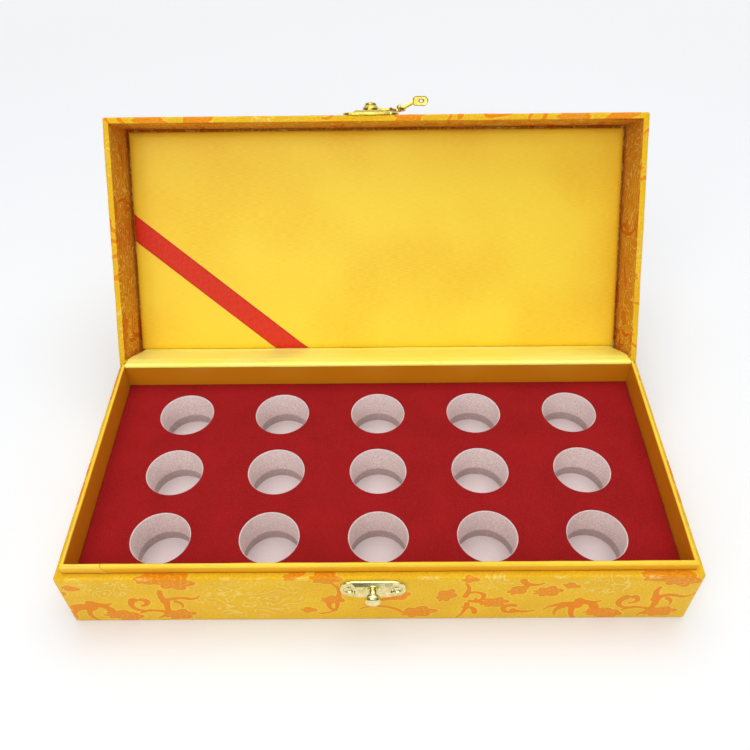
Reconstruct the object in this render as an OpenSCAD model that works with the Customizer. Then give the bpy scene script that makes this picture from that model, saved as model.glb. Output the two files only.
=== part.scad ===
// Brocade-covered presentation box with a hinged lid, a satin-lined neck,
// a punched foam insert with fifteen round pockets and a brass swing clasp.
// Units are millimetres. The origin is the centre of the tray's underside,
// +X runs to the viewer's right, +Y towards the hinge and +Z up.
// The lid is drawn in its closed place and then swung open to its stored pose.

/* [Case] */
// Outer width of the tray and the lid
box_w = 290; // [250:1:330]
// Outer depth of the tray and the lid
box_d = 134; // [126:1:160]
// Height of the tray's covered wall
tray_h = 38; // [34:1:60]
// Height of the lid from its rim to its top
lid_h = 37; // [30:1:60]

/* [Board and cloth] */
// Thickness of the tray's greyboard walls
wall_t = 2.8; // [2:0.1:4]
// Thickness of the tray's greyboard floor
floor_t = 2.8; // [2:0.1:4]
// Thickness of the lid's greyboard top
lid_top_t = 2.5; // [2:0.1:4]
// Thickness of the brocade with its glue
cloth_t = 0.4; // [0.3:0.05:0.6]
// Thickness of the satin
satin_t = 0.25; // [0.2:0.05:0.4]
// Thickness of the paper under the tray
paper_t = 0.3; // [0.2:0.05:0.5]
// Margin of the tray's underside that the paper leaves bare
paper_inset = 5; // [3:0.5:9]
// Width of brocade turned under the floor
under_turn = 14; // [10:1:25]
// Depth of brocade turned in behind the neck
inside_turn = 12; // [8:1:20]
// Radius that the cloth gives the upright edges
corner_r = 1.1; // [0.8:0.1:1.5]
// Radius of a fold in the cloth
fold_r = 0.3; // [0.2:0.05:0.4]

/* [Neck] */
// Thickness of the neck board inside the tray's walls
neck_t = 1.1; // [0.8:0.1:2]
// Height of the neck above the tray's ledge
neck_rise = 5.5; // [4:0.5:9]
// Gap between the neck and the closed lid
neck_clear = 0.4; // [0.3:0.05:0.8]
// Radius of the neck's upright edges under the satin
neck_edge_r = 0.5; // [0.3:0.05:0.8]

/* [Insert] */
// Thickness of the soft pad under the pockets
pad_t = 3; // [2:0.5:5]
// Thickness of the punched foam block
foam_t = 21.5; // [16:0.5:24]
// Thickness of the red flocked sheet on the foam
flock_t = 0.7; // [0.5:0.1:1.2]
// Diameter of a pocket
pocket_d = 28; // [20:0.5:32]
// White foam edge that shows around each pocket
pocket_lip = 0.5; // [0.2:0.1:1]
// Number of pockets from left to right
pocket_cols = 5; // [2:1:5]
// Number of pockets from front to back
pocket_rows = 3; // [1:1:3]
// Distance between pockets from left to right
pitch_x = 52; // [42:0.5:52]
// Distance between pockets from front to back
pitch_y = 39.2; // [35:0.1:40]
// Gap around the insert
insert_clear = 0.3; // [0.2:0.1:1]

/* [Lid panel] */
// Thickness of the panel's card
card_t = 1.5; // [1:0.1:2.5]
// Thickness of the panel's foam at its middle
panel_pad_t = 3.5; // [2.5:0.5:6]
// Thickness of the panel's foam at its edge
panel_edge_t = 1.6; // [1:0.1:2.2]
// Width over which the panel's face rolls down to its edge
panel_roll = 3.5; // [2:0.5:8]
// Radius of the panel's corners
panel_corner_r = 1; // [0.6:0.1:2]
// Gap between the panel and the lid's walls
panel_gap = 1.4; // [1:0.1:3]
// Width of the ribbon
ribbon_w = 12; // [8:0.5:20]
// Thickness of the ribbon
ribbon_t = 0.2; // [0.15:0.05:0.4]
// Height at which the ribbon leaves the panel's left edge
ribbon_up = 72; // [50:1:90]
// Distance at which the ribbon leaves the panel's hinge edge
ribbon_foot_len = 90; // [60:1:120]

/* [Hinge] */
// Angle between the closed lid and its stored open pose
lid_open = 124.5; // [95:0.5:135]
// Gap between the lid's rim and the tray's ledge
lid_gap = 0.6; // [0.5:0.1:1]
// Width of hinge cloth glued to each back wall
hinge_wing = 10; // [6:1:16]
// Gap between loose cloth and the lid
cloth_clear = 0.3; // [0.2:0.05:0.5]
// Margin of satin hinge liner left bare at each end
stay_margin = 2; // [1:0.5:8]

/* [Clasp] */
// Place of the clasp to the right of the middle
clasp_x = -2.5; // [-20:0.5:20]
// Depth of the keeper knob below the tray's ledge
keeper_drop = 7; // [7:0.5:12]
// Height of the hook's pivot above the lid's rim
pivot_rise = 6.4; // [6:0.1:12]
// Length of each clasp plate
plate_len = 29.6; // [26:0.2:36]
// Height of each clasp plate at its middle
plate_h = 11; // [10:0.5:11]
// Distance between the two nails of a plate
nail_pitch = 22.2; // [20:0.2:24]
// Thickness of a plate at its nails
plate_t = 1.2; // [0.8:0.1:1.5]
// Height of a plate's raised middle off the wall
plate_raise = 2.5; // [2.2:0.1:3]
// Space between a nail's head and the raised middle
nail_space = 1; // [0.6:0.1:1.4]
// Draft of the round boss in the raised middle, on the diameter
boss_taper = 1; // [0.6:0.1:2]
// Diameter of the neck of the keeper knob
knob_neck_d = 3.8; // [3:0.1:4.4]
// Diameter of the head of the keeper knob
knob_head_d = 7.3; // [6.5:0.1:7.6]
// Free height of the knob's neck between plate and head
knob_neck_h = 3.5; // [3.5:0.1:5]
// Thickness of the head of the keeper knob
knob_head_t = 3; // [2:0.1:4]
// Diameter of a nail's shank
nail_d = 1.2; // [1:0.1:1.5]
// Diameter of a nail's head
nail_head_d = 3; // [2.4:0.1:3.6]
// Height of a nail's head
nail_head_t = 0.7; // [0.5:0.1:0.9]
// Length of a nail in the board
nail_bite = 2; // [1:0.1:2.2]

/* [Hook] */
// Thickness of the hook's strip
hook_t = 1.2; // [0.8:0.1:1.5]
// Width of the hook's strip
hook_w = 5; // [4:0.1:6]
// Diameter of the hub around the pivot
hub_d = 8.7; // [8:0.1:10]
// Height of the cone on the hub
hub_rise = 1.5; // [1:0.1:2]
// Draft of the cone on the hub, on the diameter
hub_taper = 2.4; // [1.6:0.1:2.6]
// Diameter of the pivot's shank
rivet_d = 3; // [2.5:0.1:3.5]
// Diameter of the pivot's head
rivet_head_d = 5.5; // [5:0.1:6]
// Height of the pivot's domed head
rivet_head_h = 1.6; // [1.2:0.1:2]
// Gap around the pivot, under the hook and over its hub
running_gap = 0.05; // [0.03:0.01:0.1]
// Gap around the knob's neck in the hook's throat
throat_gap = 0.2; // [0.15:0.05:0.3]
// Metal left around the throat
throat_rim = 2.6; // [2:0.1:3]
// Diameter of the thumb bead
bead_d = 2.8; // [2:0.1:3.2]
// Gap between the thumb bead and the knob's head beside it
bead_gap = 0.3; // [0.2:0.05:0.6]
// Length from the pivot to the end of the finger curl
hook_len = 30.6; // [30:0.1:36]
// Height of the top of the finger curl off the wall
curl_top = 9.7; // [9.4:0.1:12]
// Thickness of the finger curl
curl_d = 4.4; // [4:0.1:5]
// Length of the finger curl
curl_len = 8.3; // [7:0.1:9]
// Diameter of the hole through the finger curl
curl_bore = 2; // [1.5:0.1:2.4]

/* [Hidden] */
$fn = 64;

brocade_color = [0.90, 0.70, 0.20];
lining_color = [0.85, 0.52, 0.12];
satin_color = [0.98, 0.80, 0.28];
board_color = [0.62, 0.58, 0.52];
paper_color = [0.93, 0.91, 0.86];
foam_color = [0.93, 0.85, 0.86];
flock_color = [0.62, 0.10, 0.11];
ribbon_color = [0.85, 0.16, 0.13];
brass_color = [0.90, 0.82, 0.50];

// Heights of the tray's layers, counted up from the surface it stands on
floor_z = paper_t + cloth_t;
floor_top = floor_z + floor_t;
foam_z = floor_top + pad_t;
flock_z = foam_z + foam_t;
neck_top = tray_h + neck_rise;

// Insets of the tray's layers from its outer face
wall_in = 2 * cloth_t + wall_t;
neck_in = wall_in + 2 * satin_t + neck_t;
insert_w = box_w - 2 * (neck_in + insert_clear);
insert_d = box_d - 2 * (neck_in + insert_clear);

// The lid's walls are thinner than the tray's, so that they clear the neck
lid_wall_t = wall_t - neck_clear;
lid_in = 2 * cloth_t + lid_wall_t;
rim_z = tray_h + lid_gap;
lid_top_z = rim_z + lid_h;
top_board_z = lid_top_z - cloth_t - lid_top_t;
panel_w = box_w - 2 * (lid_in + panel_gap);
panel_d = box_d - 2 * (lid_in + panel_gap);
panel_stack = card_t + panel_pad_t + satin_t;
panel_face_z = top_board_z - panel_stack;

// The lid turns about the line where the two back walls meet
hinge_y = box_d / 2;
hinge_z = tray_h + lid_gap / 2;

// The clasp, with heights off the front wall
keeper_z = tray_h - keeper_drop;
pivot_z = rim_z + pivot_rise;
reach = pivot_z - keeper_z;
lobe_r = (plate_len - nail_pitch) / 2;
boss_rise = 0.15;
bore_clear = 0.1;
hook_z = plate_raise + boss_rise + running_gap;
hub_top = hook_z + hook_t + hub_rise;
throat_r = knob_neck_d / 2 + throat_gap;
eye_r = throat_r + throat_rim;
rise_start = reach + throat_r + throat_gap;

// How far a cut runs past what it cuts, and how much deeper than a cloth one goes
cut_over = 1;
skin_slack = 0.01;

// A rectangle centred on the origin whose corners are rounded
module rounded_rect(w, d, r) {
    square([w - 2 * r, d], center = true);
    square([w, d - 2 * r], center = true);
    for (sx = [-1, 1], sy = [-1, 1])
        translate([sx * (w / 2 - r), sy * (d / 2 - r)]) circle(r);
}

// A closed ring that starts at one inset from the case and ends at another
module ring(from_in, to_in, z0, z1, r = fold_r) {
    translate([0, 0, z0]) linear_extrude(z1 - z0) difference() {
        rounded_rect(box_w - 2 * from_in, box_d - 2 * from_in, r);
        square([box_w - 2 * to_in, box_d - 2 * to_in], center = true);
    }
}

// A board that runs the whole width, at the front (-1) or the back (1)
module long_board(side, inset, t, z0, z1) {
    w = box_w - 2 * inset;
    translate([-w / 2, side * (box_d / 2 - inset) - (side > 0 ? t : 0), z0])
        cube([w, t, z1 - z0]);
}

// A board that fits between the front and the back, at the left (-1) or right (1)
module short_board(side, inset, t, z0, z1) {
    d = box_d - 2 * (inset + t);
    translate([side * (box_w / 2 - inset) - (side > 0 ? t : 0), -d / 2, z0])
        cube([t, d, z1 - z0]);
}

// A plain slab centred on the box
module slab(w, d, z0, z1) {
    translate([-w / 2, -d / 2, z0]) cube([w, d, z1 - z0]);
}

// Puts a shape from the closed lid's place into its stored open pose
module open_lid() {
    translate([0, hinge_y, hinge_z]) rotate([-lid_open, 0, 0])
        translate([0, -hinge_y, -hinge_z]) children();
}

// Puts a shape drawn face up, with its foot at z = 0, on the front wall
module on_front(z) {
    translate([clasp_x, -box_d / 2, z]) rotate([90, 0, 0]) children();
}

// The places of the two nails of a plate
module at_nails() {
    for (side = [-1, 1]) translate([side * nail_pitch / 2, 0, 0]) children();
}

// Holes for the nails through a plate, the cloth and the board
module nail_holes() {
    at_nails() translate([0, 0, -cloth_t - nail_bite])
        cylinder(h = cloth_t + nail_bite + plate_raise, d = nail_d + bore_clear);
}

// The round pockets as posts of a given diameter
module pocket_posts(d, z0, z1) {
    for (i = [0 : pocket_cols - 1], j = [0 : pocket_rows - 1])
        translate([(i - (pocket_cols - 1) / 2) * pitch_x,
                   (j - (pocket_rows - 1) / 2) * pitch_y, z0])
            cylinder(h = z1 - z0, d = d);
}

// A low cap of a sphere that stands on a disc
module dome(d, h) {
    r = (d * d / 4 + h * h) / (2 * h);
    intersection() {
        translate([0, 0, h - r]) sphere(r, $fn = 96);
        cylinder(h = h, d = d);
    }
}

// Tray boards and covering

module base_paper() {
    color(paper_color) slab(box_w - 2 * paper_inset, box_d - 2 * paper_inset, 0, paper_t);
}

module tray_floor_board() {
    color(board_color) slab(box_w - 2 * cloth_t, box_d - 2 * cloth_t, floor_z, floor_top);
}

module tray_front_board() {
    color(board_color) difference() {
        long_board(-1, cloth_t, wall_t, floor_top, tray_h - cloth_t);
        on_front(keeper_z) nail_holes();
    }
}

module tray_back_board() {
    color(board_color) long_board(1, cloth_t, wall_t, floor_top, tray_h - cloth_t);
}

module tray_left_board() {
    color(board_color) short_board(-1, cloth_t, wall_t, floor_top, tray_h - cloth_t);
}

module tray_right_board() {
    color(board_color) short_board(1, cloth_t, wall_t, floor_top, tray_h - cloth_t);
}

// Brocade on the walls, turned under the floor and over the ledge
module tray_brocade() {
    color(brocade_color) difference() {
        union() {
            ring(0, cloth_t, paper_t, tray_h, corner_r);
            ring(0, under_turn, paper_t, floor_z, corner_r);
            ring(0, wall_in, tray_h - cloth_t, tray_h, corner_r);
            ring(cloth_t + wall_t, wall_in, tray_h - inside_turn, tray_h);
        }
        on_front(keeper_z) nail_holes();
        hinge_recess(tray_h - hinge_wing, tray_h);
    }
}

// The strip of a back wall that the hinge cloth covers in place of the brocade
module hinge_recess(z0, z1) {
    translate([-box_w / 2 - cut_over, box_d / 2 - cloth_t - skin_slack, z0 - skin_slack / 2])
        cube([box_w + 2 * cut_over, 2 * cloth_t, z1 - z0 + skin_slack]);
}

// Neck boards and their satin

module neck_long(side) {
    color(board_color)
        long_board(side, wall_in + satin_t, neck_t, floor_top, neck_top - satin_t);
}

module neck_short(side) {
    color(board_color)
        short_board(side, wall_in + satin_t, neck_t, floor_top, neck_top - satin_t);
}

module neck_front_board() neck_long(-1);
module neck_back_board() neck_long(1);
module neck_left_board() neck_short(-1);
module neck_right_board() neck_short(1);

// Satin up the inside of the neck, over its top and down behind it
module neck_satin() {
    color(satin_color) {
        ring(neck_in - satin_t, neck_in, floor_top, neck_top);
        ring(wall_in, neck_in, neck_top - satin_t, neck_top, neck_edge_r);
        ring(wall_in, wall_in + satin_t, floor_top, neck_top, neck_edge_r);
    }
}

// Insert

module pocket_floor_pad() {
    color(paper_color) slab(insert_w, insert_d, floor_top, foam_z);
}

module foam_block() {
    color(foam_color) difference() {
        slab(insert_w, insert_d, foam_z, flock_z);
        pocket_posts(pocket_d, foam_z - cut_over, flock_z + cut_over);
    }
}

module flocked_sheet() {
    color(flock_color) difference() {
        slab(insert_w, insert_d, flock_z, flock_z + flock_t);
        pocket_posts(pocket_d + 2 * pocket_lip, flock_z - cut_over, flock_z + flock_t + cut_over);
    }
}

// Clasp plates

// A stamped plate: a lobe around each nail and a raised middle
module clasp_plate() {
    linear_extrude(plate_t) {
        square([nail_pitch, 1.5 * lobe_r], center = true);
        circle(d = plate_h);
        at_nails() circle(lobe_r);
    }
    raised_w = nail_pitch - nail_head_d - 2 * nail_space;
    translate([0, 0, plate_t]) {
        linear_extrude(plate_raise - plate_t)
            square([raised_w, 1.2 * lobe_r], center = true);
        cylinder(h = plate_raise - plate_t, d1 = plate_h, d2 = plate_h - boss_taper);
    }
}

// The two nails of a plate, with domed heads
module plate_nails() {
    at_nails() {
        translate([0, 0, -cloth_t - nail_bite])
            cylinder(h = cloth_t + nail_bite + plate_t, d = nail_d);
        translate([0, 0, plate_t]) dome(nail_head_d, nail_head_t);
    }
}

module keeper_plate() {
    color(brass_color) on_front(keeper_z) difference() {
        clasp_plate();
        nail_holes();
        translate([0, 0, -cut_over])
            cylinder(h = plate_raise + 2 * cut_over, d = knob_neck_d + bore_clear);
    }
}

module keeper_nails() {
    color(brass_color) on_front(keeper_z) plate_nails();
}

// A mushroom knob: its neck passes through the plate to the wall
module keeper_knob() {
    head_z = plate_raise + knob_neck_h;
    color(brass_color) on_front(keeper_z) {
        cylinder(h = head_z + knob_head_t / 4, d = knob_neck_d);
        translate([0, 0, head_z]) cylinder(h = knob_head_t / 2, d = knob_head_d);
        translate([0, 0, head_z + knob_head_t / 2]) dome(knob_head_d, knob_head_t / 2);
    }
}

// Hinge cloths

// A point given from the hinge line in the closed lid, as [y, z] in the open pose
function swung(y, z) = [
    hinge_y + y * cos(lid_open) + z * sin(lid_open),
    hinge_z - y * sin(lid_open) + z * cos(lid_open)
];

// Brocade hinge on the outside of both back walls, creased where they meet
module hinge_cloth() {
    wing_z = tray_h - hinge_wing;
    crease = -cloth_clear * cos(lid_open) / sin(lid_open);
    outline = [
        [hinge_y - cloth_t, wing_z],
        [hinge_y, wing_z],
        swung(cloth_clear, crease),
        swung(cloth_clear, hinge_wing),
        swung(cloth_clear - cloth_t, hinge_wing),
        swung(cloth_clear - cloth_t, 0),
        [hinge_y - cloth_t, hinge_z]
    ];
    color(brocade_color) along_box(box_w) polygon(outline);
}

// Runs an outline of [y, z] points along the box
module along_box(w) {
    translate([-w / 2, 0, 0]) rotate([90, 0, 90]) linear_extrude(w) children();
}

// A strip of cloth one thickness above a path of [y, z] points
function lifted(path, t) = [
    for (i = [0 : len(path) - 1])
        let (
            a = path[max(i - 1, 0)],
            b = path[min(i + 1, len(path) - 1)],
            run = (b - a) / norm(b - a)
        )
        path[i] + t * [-run[1], run[0]]
];

// Satin from the top of the neck, over the lid's rim and into the panel's edge
module satin_hinge_liner() {
    stay_w = box_w - 2 * (neck_in + stay_margin);
    inner = lid_in + cloth_clear;
    face = panel_face_z - hinge_z;
    path = [
        [hinge_y - neck_in, neck_top],
        [hinge_y - wall_in, neck_top],
        swung(-inner, 0),
        swung(-inner, face + card_t)
    ];
    outline = concat(path, [for (i = [len(path) - 1 : -1 : 0]) lifted(path, satin_t)[i]]);
    color(satin_color) along_box(stay_w) polygon(outline);
}

// Lid boards and covering

module lid_top_board() {
    color(board_color) open_lid()
        slab(box_w - 2 * cloth_t, box_d - 2 * cloth_t, top_board_z, top_board_z + lid_top_t);
}

module lid_front_board() {
    color(board_color) open_lid() difference() {
        long_board(-1, cloth_t, lid_wall_t, rim_z + cloth_t, top_board_z);
        on_front(pivot_z) nail_holes();
    }
}

module lid_back_board() {
    color(board_color) open_lid()
        long_board(1, cloth_t, lid_wall_t, rim_z + cloth_t, top_board_z);
}

module lid_left_board() {
    color(board_color) open_lid()
        short_board(-1, cloth_t, lid_wall_t, rim_z + cloth_t, top_board_z);
}

module lid_right_board() {
    color(board_color) open_lid()
        short_board(1, cloth_t, lid_wall_t, rim_z + cloth_t, top_board_z);
}

// Brocade over the top and walls, and turned in across the rim
module lid_brocade() {
    color(brocade_color) open_lid() difference() {
        union() {
            ring(0, cloth_t, rim_z, lid_top_z, corner_r);
            ring(0, lid_in, rim_z, rim_z + cloth_t, corner_r);
            translate([0, 0, lid_top_z - cloth_t]) linear_extrude(cloth_t)
                rounded_rect(box_w, box_d, corner_r);
        }
        on_front(pivot_z) nail_holes();
        hinge_recess(rim_z, rim_z + hinge_wing);
    }
}

// Brocade on the inside of the lid's walls
module lid_lining() {
    color(lining_color) open_lid()
        ring(cloth_t + lid_wall_t, lid_in, rim_z + cloth_t, top_board_z);
}

// Lid panel

// The foam's shape, grown by some layers of cloth: its upper edges roll down
module panel_shape(grown) {
    w = panel_w - 2 * satin_t + 2 * grown;
    d = panel_d - 2 * satin_t + 2 * grown;
    hull() for (a = [0 : 15 : 90]) {
        pull = 2 * panel_roll * (1 - cos(a));
        linear_extrude(panel_edge_t + grown + (panel_pad_t - panel_edge_t) * sin(a))
            rounded_rect(w - pull, d - pull, panel_corner_r, $fn = 32);
    }
}

// Turns a shape drawn face up on the panel's card to face out of the lid
module on_panel() {
    open_lid() translate([0, 0, top_board_z - card_t]) rotate([180, 0, 0]) children();
}

module panel_card() {
    color(board_color) open_lid()
        slab(panel_w - 2 * satin_t, panel_d - 2 * satin_t, top_board_z - card_t, top_board_z);
}

module panel_foam() {
    color(foam_color) on_panel() panel_shape(0);
}

module panel_satin() {
    color(satin_color) on_panel() difference() {
        panel_shape(satin_t);
        translate([0, 0, -skin_slack / 2]) panel_shape(skin_slack);
    }
}

// Ribbon across the panel's left corner at the hinge, taken round both edges
module corner_ribbon() {
    slope = atan(ribbon_up / ribbon_foot_len);
    length = norm([ribbon_up, ribbon_foot_len]);
    slack = 2 * skin_slack;
    color(ribbon_color) on_panel() intersection() {
        difference() {
            panel_shape(satin_t + ribbon_t);
            translate([0, 0, -slack / 2]) panel_shape(satin_t + slack);
        }
        translate([-panel_w / 2, -panel_d / 2 + ribbon_up, 0]) rotate([0, 0, -slope])
            translate([-length, -ribbon_w / 2, -cut_over])
                cube([3 * length, ribbon_w, panel_stack]);
    }
}

// Lid clasp

module hasp_plate() {
    color(brass_color) open_lid() on_front(pivot_z) difference() {
        union() {
            clasp_plate();
            cylinder(h = plate_raise + boss_rise, d = hub_d);
        }
        nail_holes();
        translate([0, 0, -cut_over])
            cylinder(h = plate_raise + 2 * cut_over, d = rivet_d + 2 * running_gap);
    }
}

module hasp_nails() {
    color(brass_color) open_lid() on_front(pivot_z) plate_nails();
}

// The pivot: a shank up from the wall and a domed head over the hub
module pivot_rivet() {
    color(brass_color) open_lid() on_front(pivot_z) {
        cylinder(h = hub_top + running_gap, d = rivet_d);
        translate([0, 0, hub_top + running_gap]) dome(rivet_head_d, rivet_head_h);
    }
}

// The swinging strip, stored pointing to the right and drawn along +X
module swing_hook() {
    bead_y = knob_head_d / 2 + bead_d / 2 + bead_gap;
    color(brass_color) open_lid() on_front(pivot_z) difference() {
        union() {
            translate([0, 0, hook_z]) {
                linear_extrude(hook_t) {
                    circle(d = hub_d);
                    translate([0, -hook_w / 2]) square([rise_start, hook_w]);
                    translate([reach, 0]) circle(eye_r);
                    translate([reach, 0]) square([bead_d, bead_y]);
                    translate([reach + bead_d / 2, bead_y]) circle(d = bead_d);
                }
                translate([0, 0, hook_t]) cylinder(h = hub_rise, d1 = hub_d, d2 = hub_d - hub_taper);
                translate([reach + bead_d / 2, bead_y, hook_t + 0.43 * bead_d])
                    sphere(d = bead_d);
            }
            finger_curl();
        }
        cylinder(h = 2 * hub_top, d = rivet_d + 2 * running_gap);
        throat();
    }
}

// The throat runs in from the front edge along the knob's path
module throat() {
    depth = 2 * hook_t;
    translate([0, 0, hook_z - hook_t / 2]) {
        translate([reach, 0, 0]) cylinder(h = depth, r = throat_r);
        intersection() {
            difference() {
                cylinder(h = depth, r = reach + throat_r);
                translate([0, 0, -cut_over])
                    cylinder(h = depth + 2 * cut_over, r = reach - throat_r);
            }
            translate([0, -reach, 0]) cube([2 * reach, reach, depth]);
        }
    }
}

// The strip rises past the knob's head and rolls into a curl for the finger
module finger_curl() {
    curl_r = curl_d / 2;
    curl_z = curl_top - curl_r;
    curl_start = hook_len - curl_len;
    foot = hook_t * 1.1;
    translate([0, hook_w / 2, 0]) rotate([90, 0, 0]) linear_extrude(hook_w) difference() {
        union() {
            polygon([
                [rise_start - foot, hook_z], [rise_start, hook_z],
                [curl_start + curl_r, curl_z - hook_t / 2],
                [curl_start + curl_r, curl_z + hook_t],
                [rise_start - foot, hook_z + hook_t]
            ]);
            translate([curl_start + curl_r, curl_z]) circle(curl_r);
            translate([hook_len - curl_r, curl_z]) circle(curl_r);
            translate([curl_start + curl_r, curl_z - curl_r])
                square([curl_len - curl_d, curl_d]);
        }
        translate([hook_len - curl_len / 2 + curl_bore / 4, curl_z]) circle(d = curl_bore);
    }
}

base_paper();
tray_floor_board();
tray_front_board();
tray_back_board();
tray_left_board();
tray_right_board();
tray_brocade();
neck_front_board();
neck_back_board();
neck_left_board();
neck_right_board();
neck_satin();
pocket_floor_pad();
foam_block();
flocked_sheet();
keeper_plate();
keeper_nails();
keeper_knob();
hinge_cloth();
satin_hinge_liner();
lid_top_board();
lid_front_board();
lid_back_board();
lid_left_board();
lid_right_board();
lid_brocade();
lid_lining();
panel_card();
panel_foam();
panel_satin();
corner_ribbon();
hasp_plate();
hasp_nails();
pivot_rivet();
swing_hook();
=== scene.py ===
# %% [markdown]
# # A brocade presentation box
# This box is the kind that holds fifteen wax-cased balls. It stands open: a shallow tray below, a
# lid thrown back behind it, and a swing clasp between the two. The board, the card and the paper
# come ready made from the CAD frame. The cloth, the foam, the ribbon and the brass are made here,
# because their charm is in folds, seams, thread and rounded edges that a CAD solid doesn't hold.

# %% Load the frame
import math
from contextlib import contextmanager

import bpy
from mathutils import Matrix, Vector, noise


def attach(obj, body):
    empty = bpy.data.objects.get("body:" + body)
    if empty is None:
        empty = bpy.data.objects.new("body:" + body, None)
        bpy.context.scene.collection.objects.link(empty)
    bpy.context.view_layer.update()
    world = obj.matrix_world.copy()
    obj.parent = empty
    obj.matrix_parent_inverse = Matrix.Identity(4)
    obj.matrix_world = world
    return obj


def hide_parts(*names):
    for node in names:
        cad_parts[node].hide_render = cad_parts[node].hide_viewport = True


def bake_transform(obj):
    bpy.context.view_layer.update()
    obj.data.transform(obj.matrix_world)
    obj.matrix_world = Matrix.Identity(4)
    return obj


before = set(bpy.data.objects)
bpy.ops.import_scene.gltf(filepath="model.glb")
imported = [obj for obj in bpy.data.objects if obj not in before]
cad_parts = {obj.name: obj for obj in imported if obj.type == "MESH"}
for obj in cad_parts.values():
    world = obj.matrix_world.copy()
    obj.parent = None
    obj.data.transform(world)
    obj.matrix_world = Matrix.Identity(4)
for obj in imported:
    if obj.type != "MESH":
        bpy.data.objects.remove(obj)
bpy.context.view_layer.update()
MM = 0.001

# %% [markdown]
# ## The camera
# The picture was taken from just above the front edge, looking down at about 46 degrees, from
# roughly 43 cm away. A camera is only a place, three turns and a focal length. The turns are written
# as a pitch, a yaw and a roll, and the matrix is put together from the three directions that they
# give, which is easier to check than a set of Euler angles.

# %% Place the camera
CAMERA_AT = Vector((1.484, -247.443, 351.761)) * MM
PITCH_DOWN = math.radians(45.687)
YAW = math.radians(-0.537)
ROLL = math.radians(-0.831)
FOCAL_PIXELS = 791.675
PICTURE_PIXELS = 750
SENSOR_WIDTH = 36


def put_in_scene(name, data):
    """A new object in the scene that shows this mesh, curve, lamp or camera."""
    made = bpy.data.objects.new(name, data)
    bpy.context.scene.collection.objects.link(made)
    return made


level_share = math.cos(PITCH_DOWN)
ahead = Vector((math.sin(YAW) * level_share, math.cos(YAW) * level_share, -math.sin(PITCH_DOWN)))
level = Vector((math.cos(YAW), -math.sin(YAW), 0))
upward = level.cross(ahead)
right = math.cos(ROLL) * level + math.sin(ROLL) * upward
top = math.cos(ROLL) * upward - math.sin(ROLL) * level

camera_data = bpy.data.cameras.new("camera")
camera_data.sensor_width = SENSOR_WIDTH
camera_data.lens = FOCAL_PIXELS / PICTURE_PIXELS * SENSOR_WIDTH
camera_data.clip_start = 0.01
camera = put_in_scene("camera", camera_data)
turned = Matrix((right, top, -ahead)).transposed().to_4x4()
camera.matrix_world = Matrix.Translation(CAMERA_AT) @ turned
bpy.context.scene.camera = camera
print("the lens is", round(camera_data.lens, 2), "mm")

# %% [markdown]
# ## Measures of the box
# Every cloth piece is laid on the same board, so the sizes are named once. The lid is drawn shut, in
# the tray's own coordinates, where its walls stand plumb over the tray's. One matrix then swings
# each lid piece open about the hinge.

# %% Name the measures
BOX_W, BOX_D = 290, 134
TRAY_TOP = 38
LID_TOP = 75.6
CORNER_R = 1.1
CLOTH = 0.4
SATIN = 0.25
NECK_IN, NECK_OUT, NECK_TOP = 5.2, 3.6, 43.5
INSERT_W, INSERT_D = 279.0, 123.0
PAD_Z, FOAM_Z, FLOCK_Z, FLOCK_TOP = 3.5, 6.5, 28.0, 28.7
POCKET_R, FLOCK_HOLE_R = 14.0, 14.5
PITCH_X, PITCH_Y = 52.0, 39.2
PANEL_W, PANEL_D = 280.8, 124.8
PANEL_FACE, PANEL_BACK, PANEL_ROLL, PANEL_EDGE = 67.45, 72.6, 3.5, 1.9
HINGE_Y, HINGE_Z = 67.0, 38.3
OPEN = math.radians(124.5)

hinge = Vector((0, HINGE_Y, HINGE_Z)) * MM
swing_open = Matrix.Translation(hinge) @ Matrix.Rotation(-OPEN, 4, "X") @ Matrix.Translation(-hinge)


def opened(distance, height):
    """The (y, z) in mm, with the lid open, of a point that far in front of the hinge and above it."""
    y = HINGE_Y - distance * math.cos(OPEN) + height * math.sin(OPEN)
    z = HINGE_Z + distance * math.sin(OPEN) + height * math.cos(OPEN)
    return y, z


print("the lid's front edge ends at", [round(v, 1) for v in opened(BOX_D, 0)])

# %% [markdown]
# ## Cloth round the walls
# Brocade and satin go round the box as long strips, folded over the edges of the board. Such a strip
# is one cross-section carried round the outline, so a single helper makes them all: it lays a ring
# of points for each point of the cross-section and joins neighbouring rings with faces. The cloth's
# flat place, in metres, is kept as its UV map, so a woven pattern runs unbroken over each fold.

# %% Carry a cross-section round the outline
ALONG_W, ALONG_D, IN_CORNER = 96, 44, 4
STEPS = (ALONG_W, ALONG_D, ALONG_W, ALONG_D)
SHARPEST_R = 0.02


def outline(inset):
    """One ring of (x, y) points, counterclockwise from above, that far in from the box's edge."""
    half_w, half_d = BOX_W / 2 - inset, BOX_D / 2 - inset
    r = max(CORNER_R - inset, SHARPEST_R)
    in_w, in_d = half_w - r, half_d - r
    starts = [(-in_w, -half_d), (half_w, -in_d), (in_w, half_d), (-half_w, in_d)]
    ends = [(in_w, -half_d), (half_w, in_d), (-in_w, half_d), (-half_w, -in_d)]
    centres = [(in_w, -in_d), (in_w, in_d), (-in_w, in_d), (-in_w, -in_d)]
    ring = []
    for side, steps in enumerate(STEPS):
        for k in range(steps):
            ring.append(tuple(a + (b - a) * (k / steps) for a, b in zip(starts[side], ends[side])))
        for k in range(IN_CORNER):
            turn = math.radians(-90 + 90 * side + 90 * k / IN_CORNER)
            ring.append((centres[side][0] + r * math.cos(turn), centres[side][1] + r * math.sin(turn)))
    return ring


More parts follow.
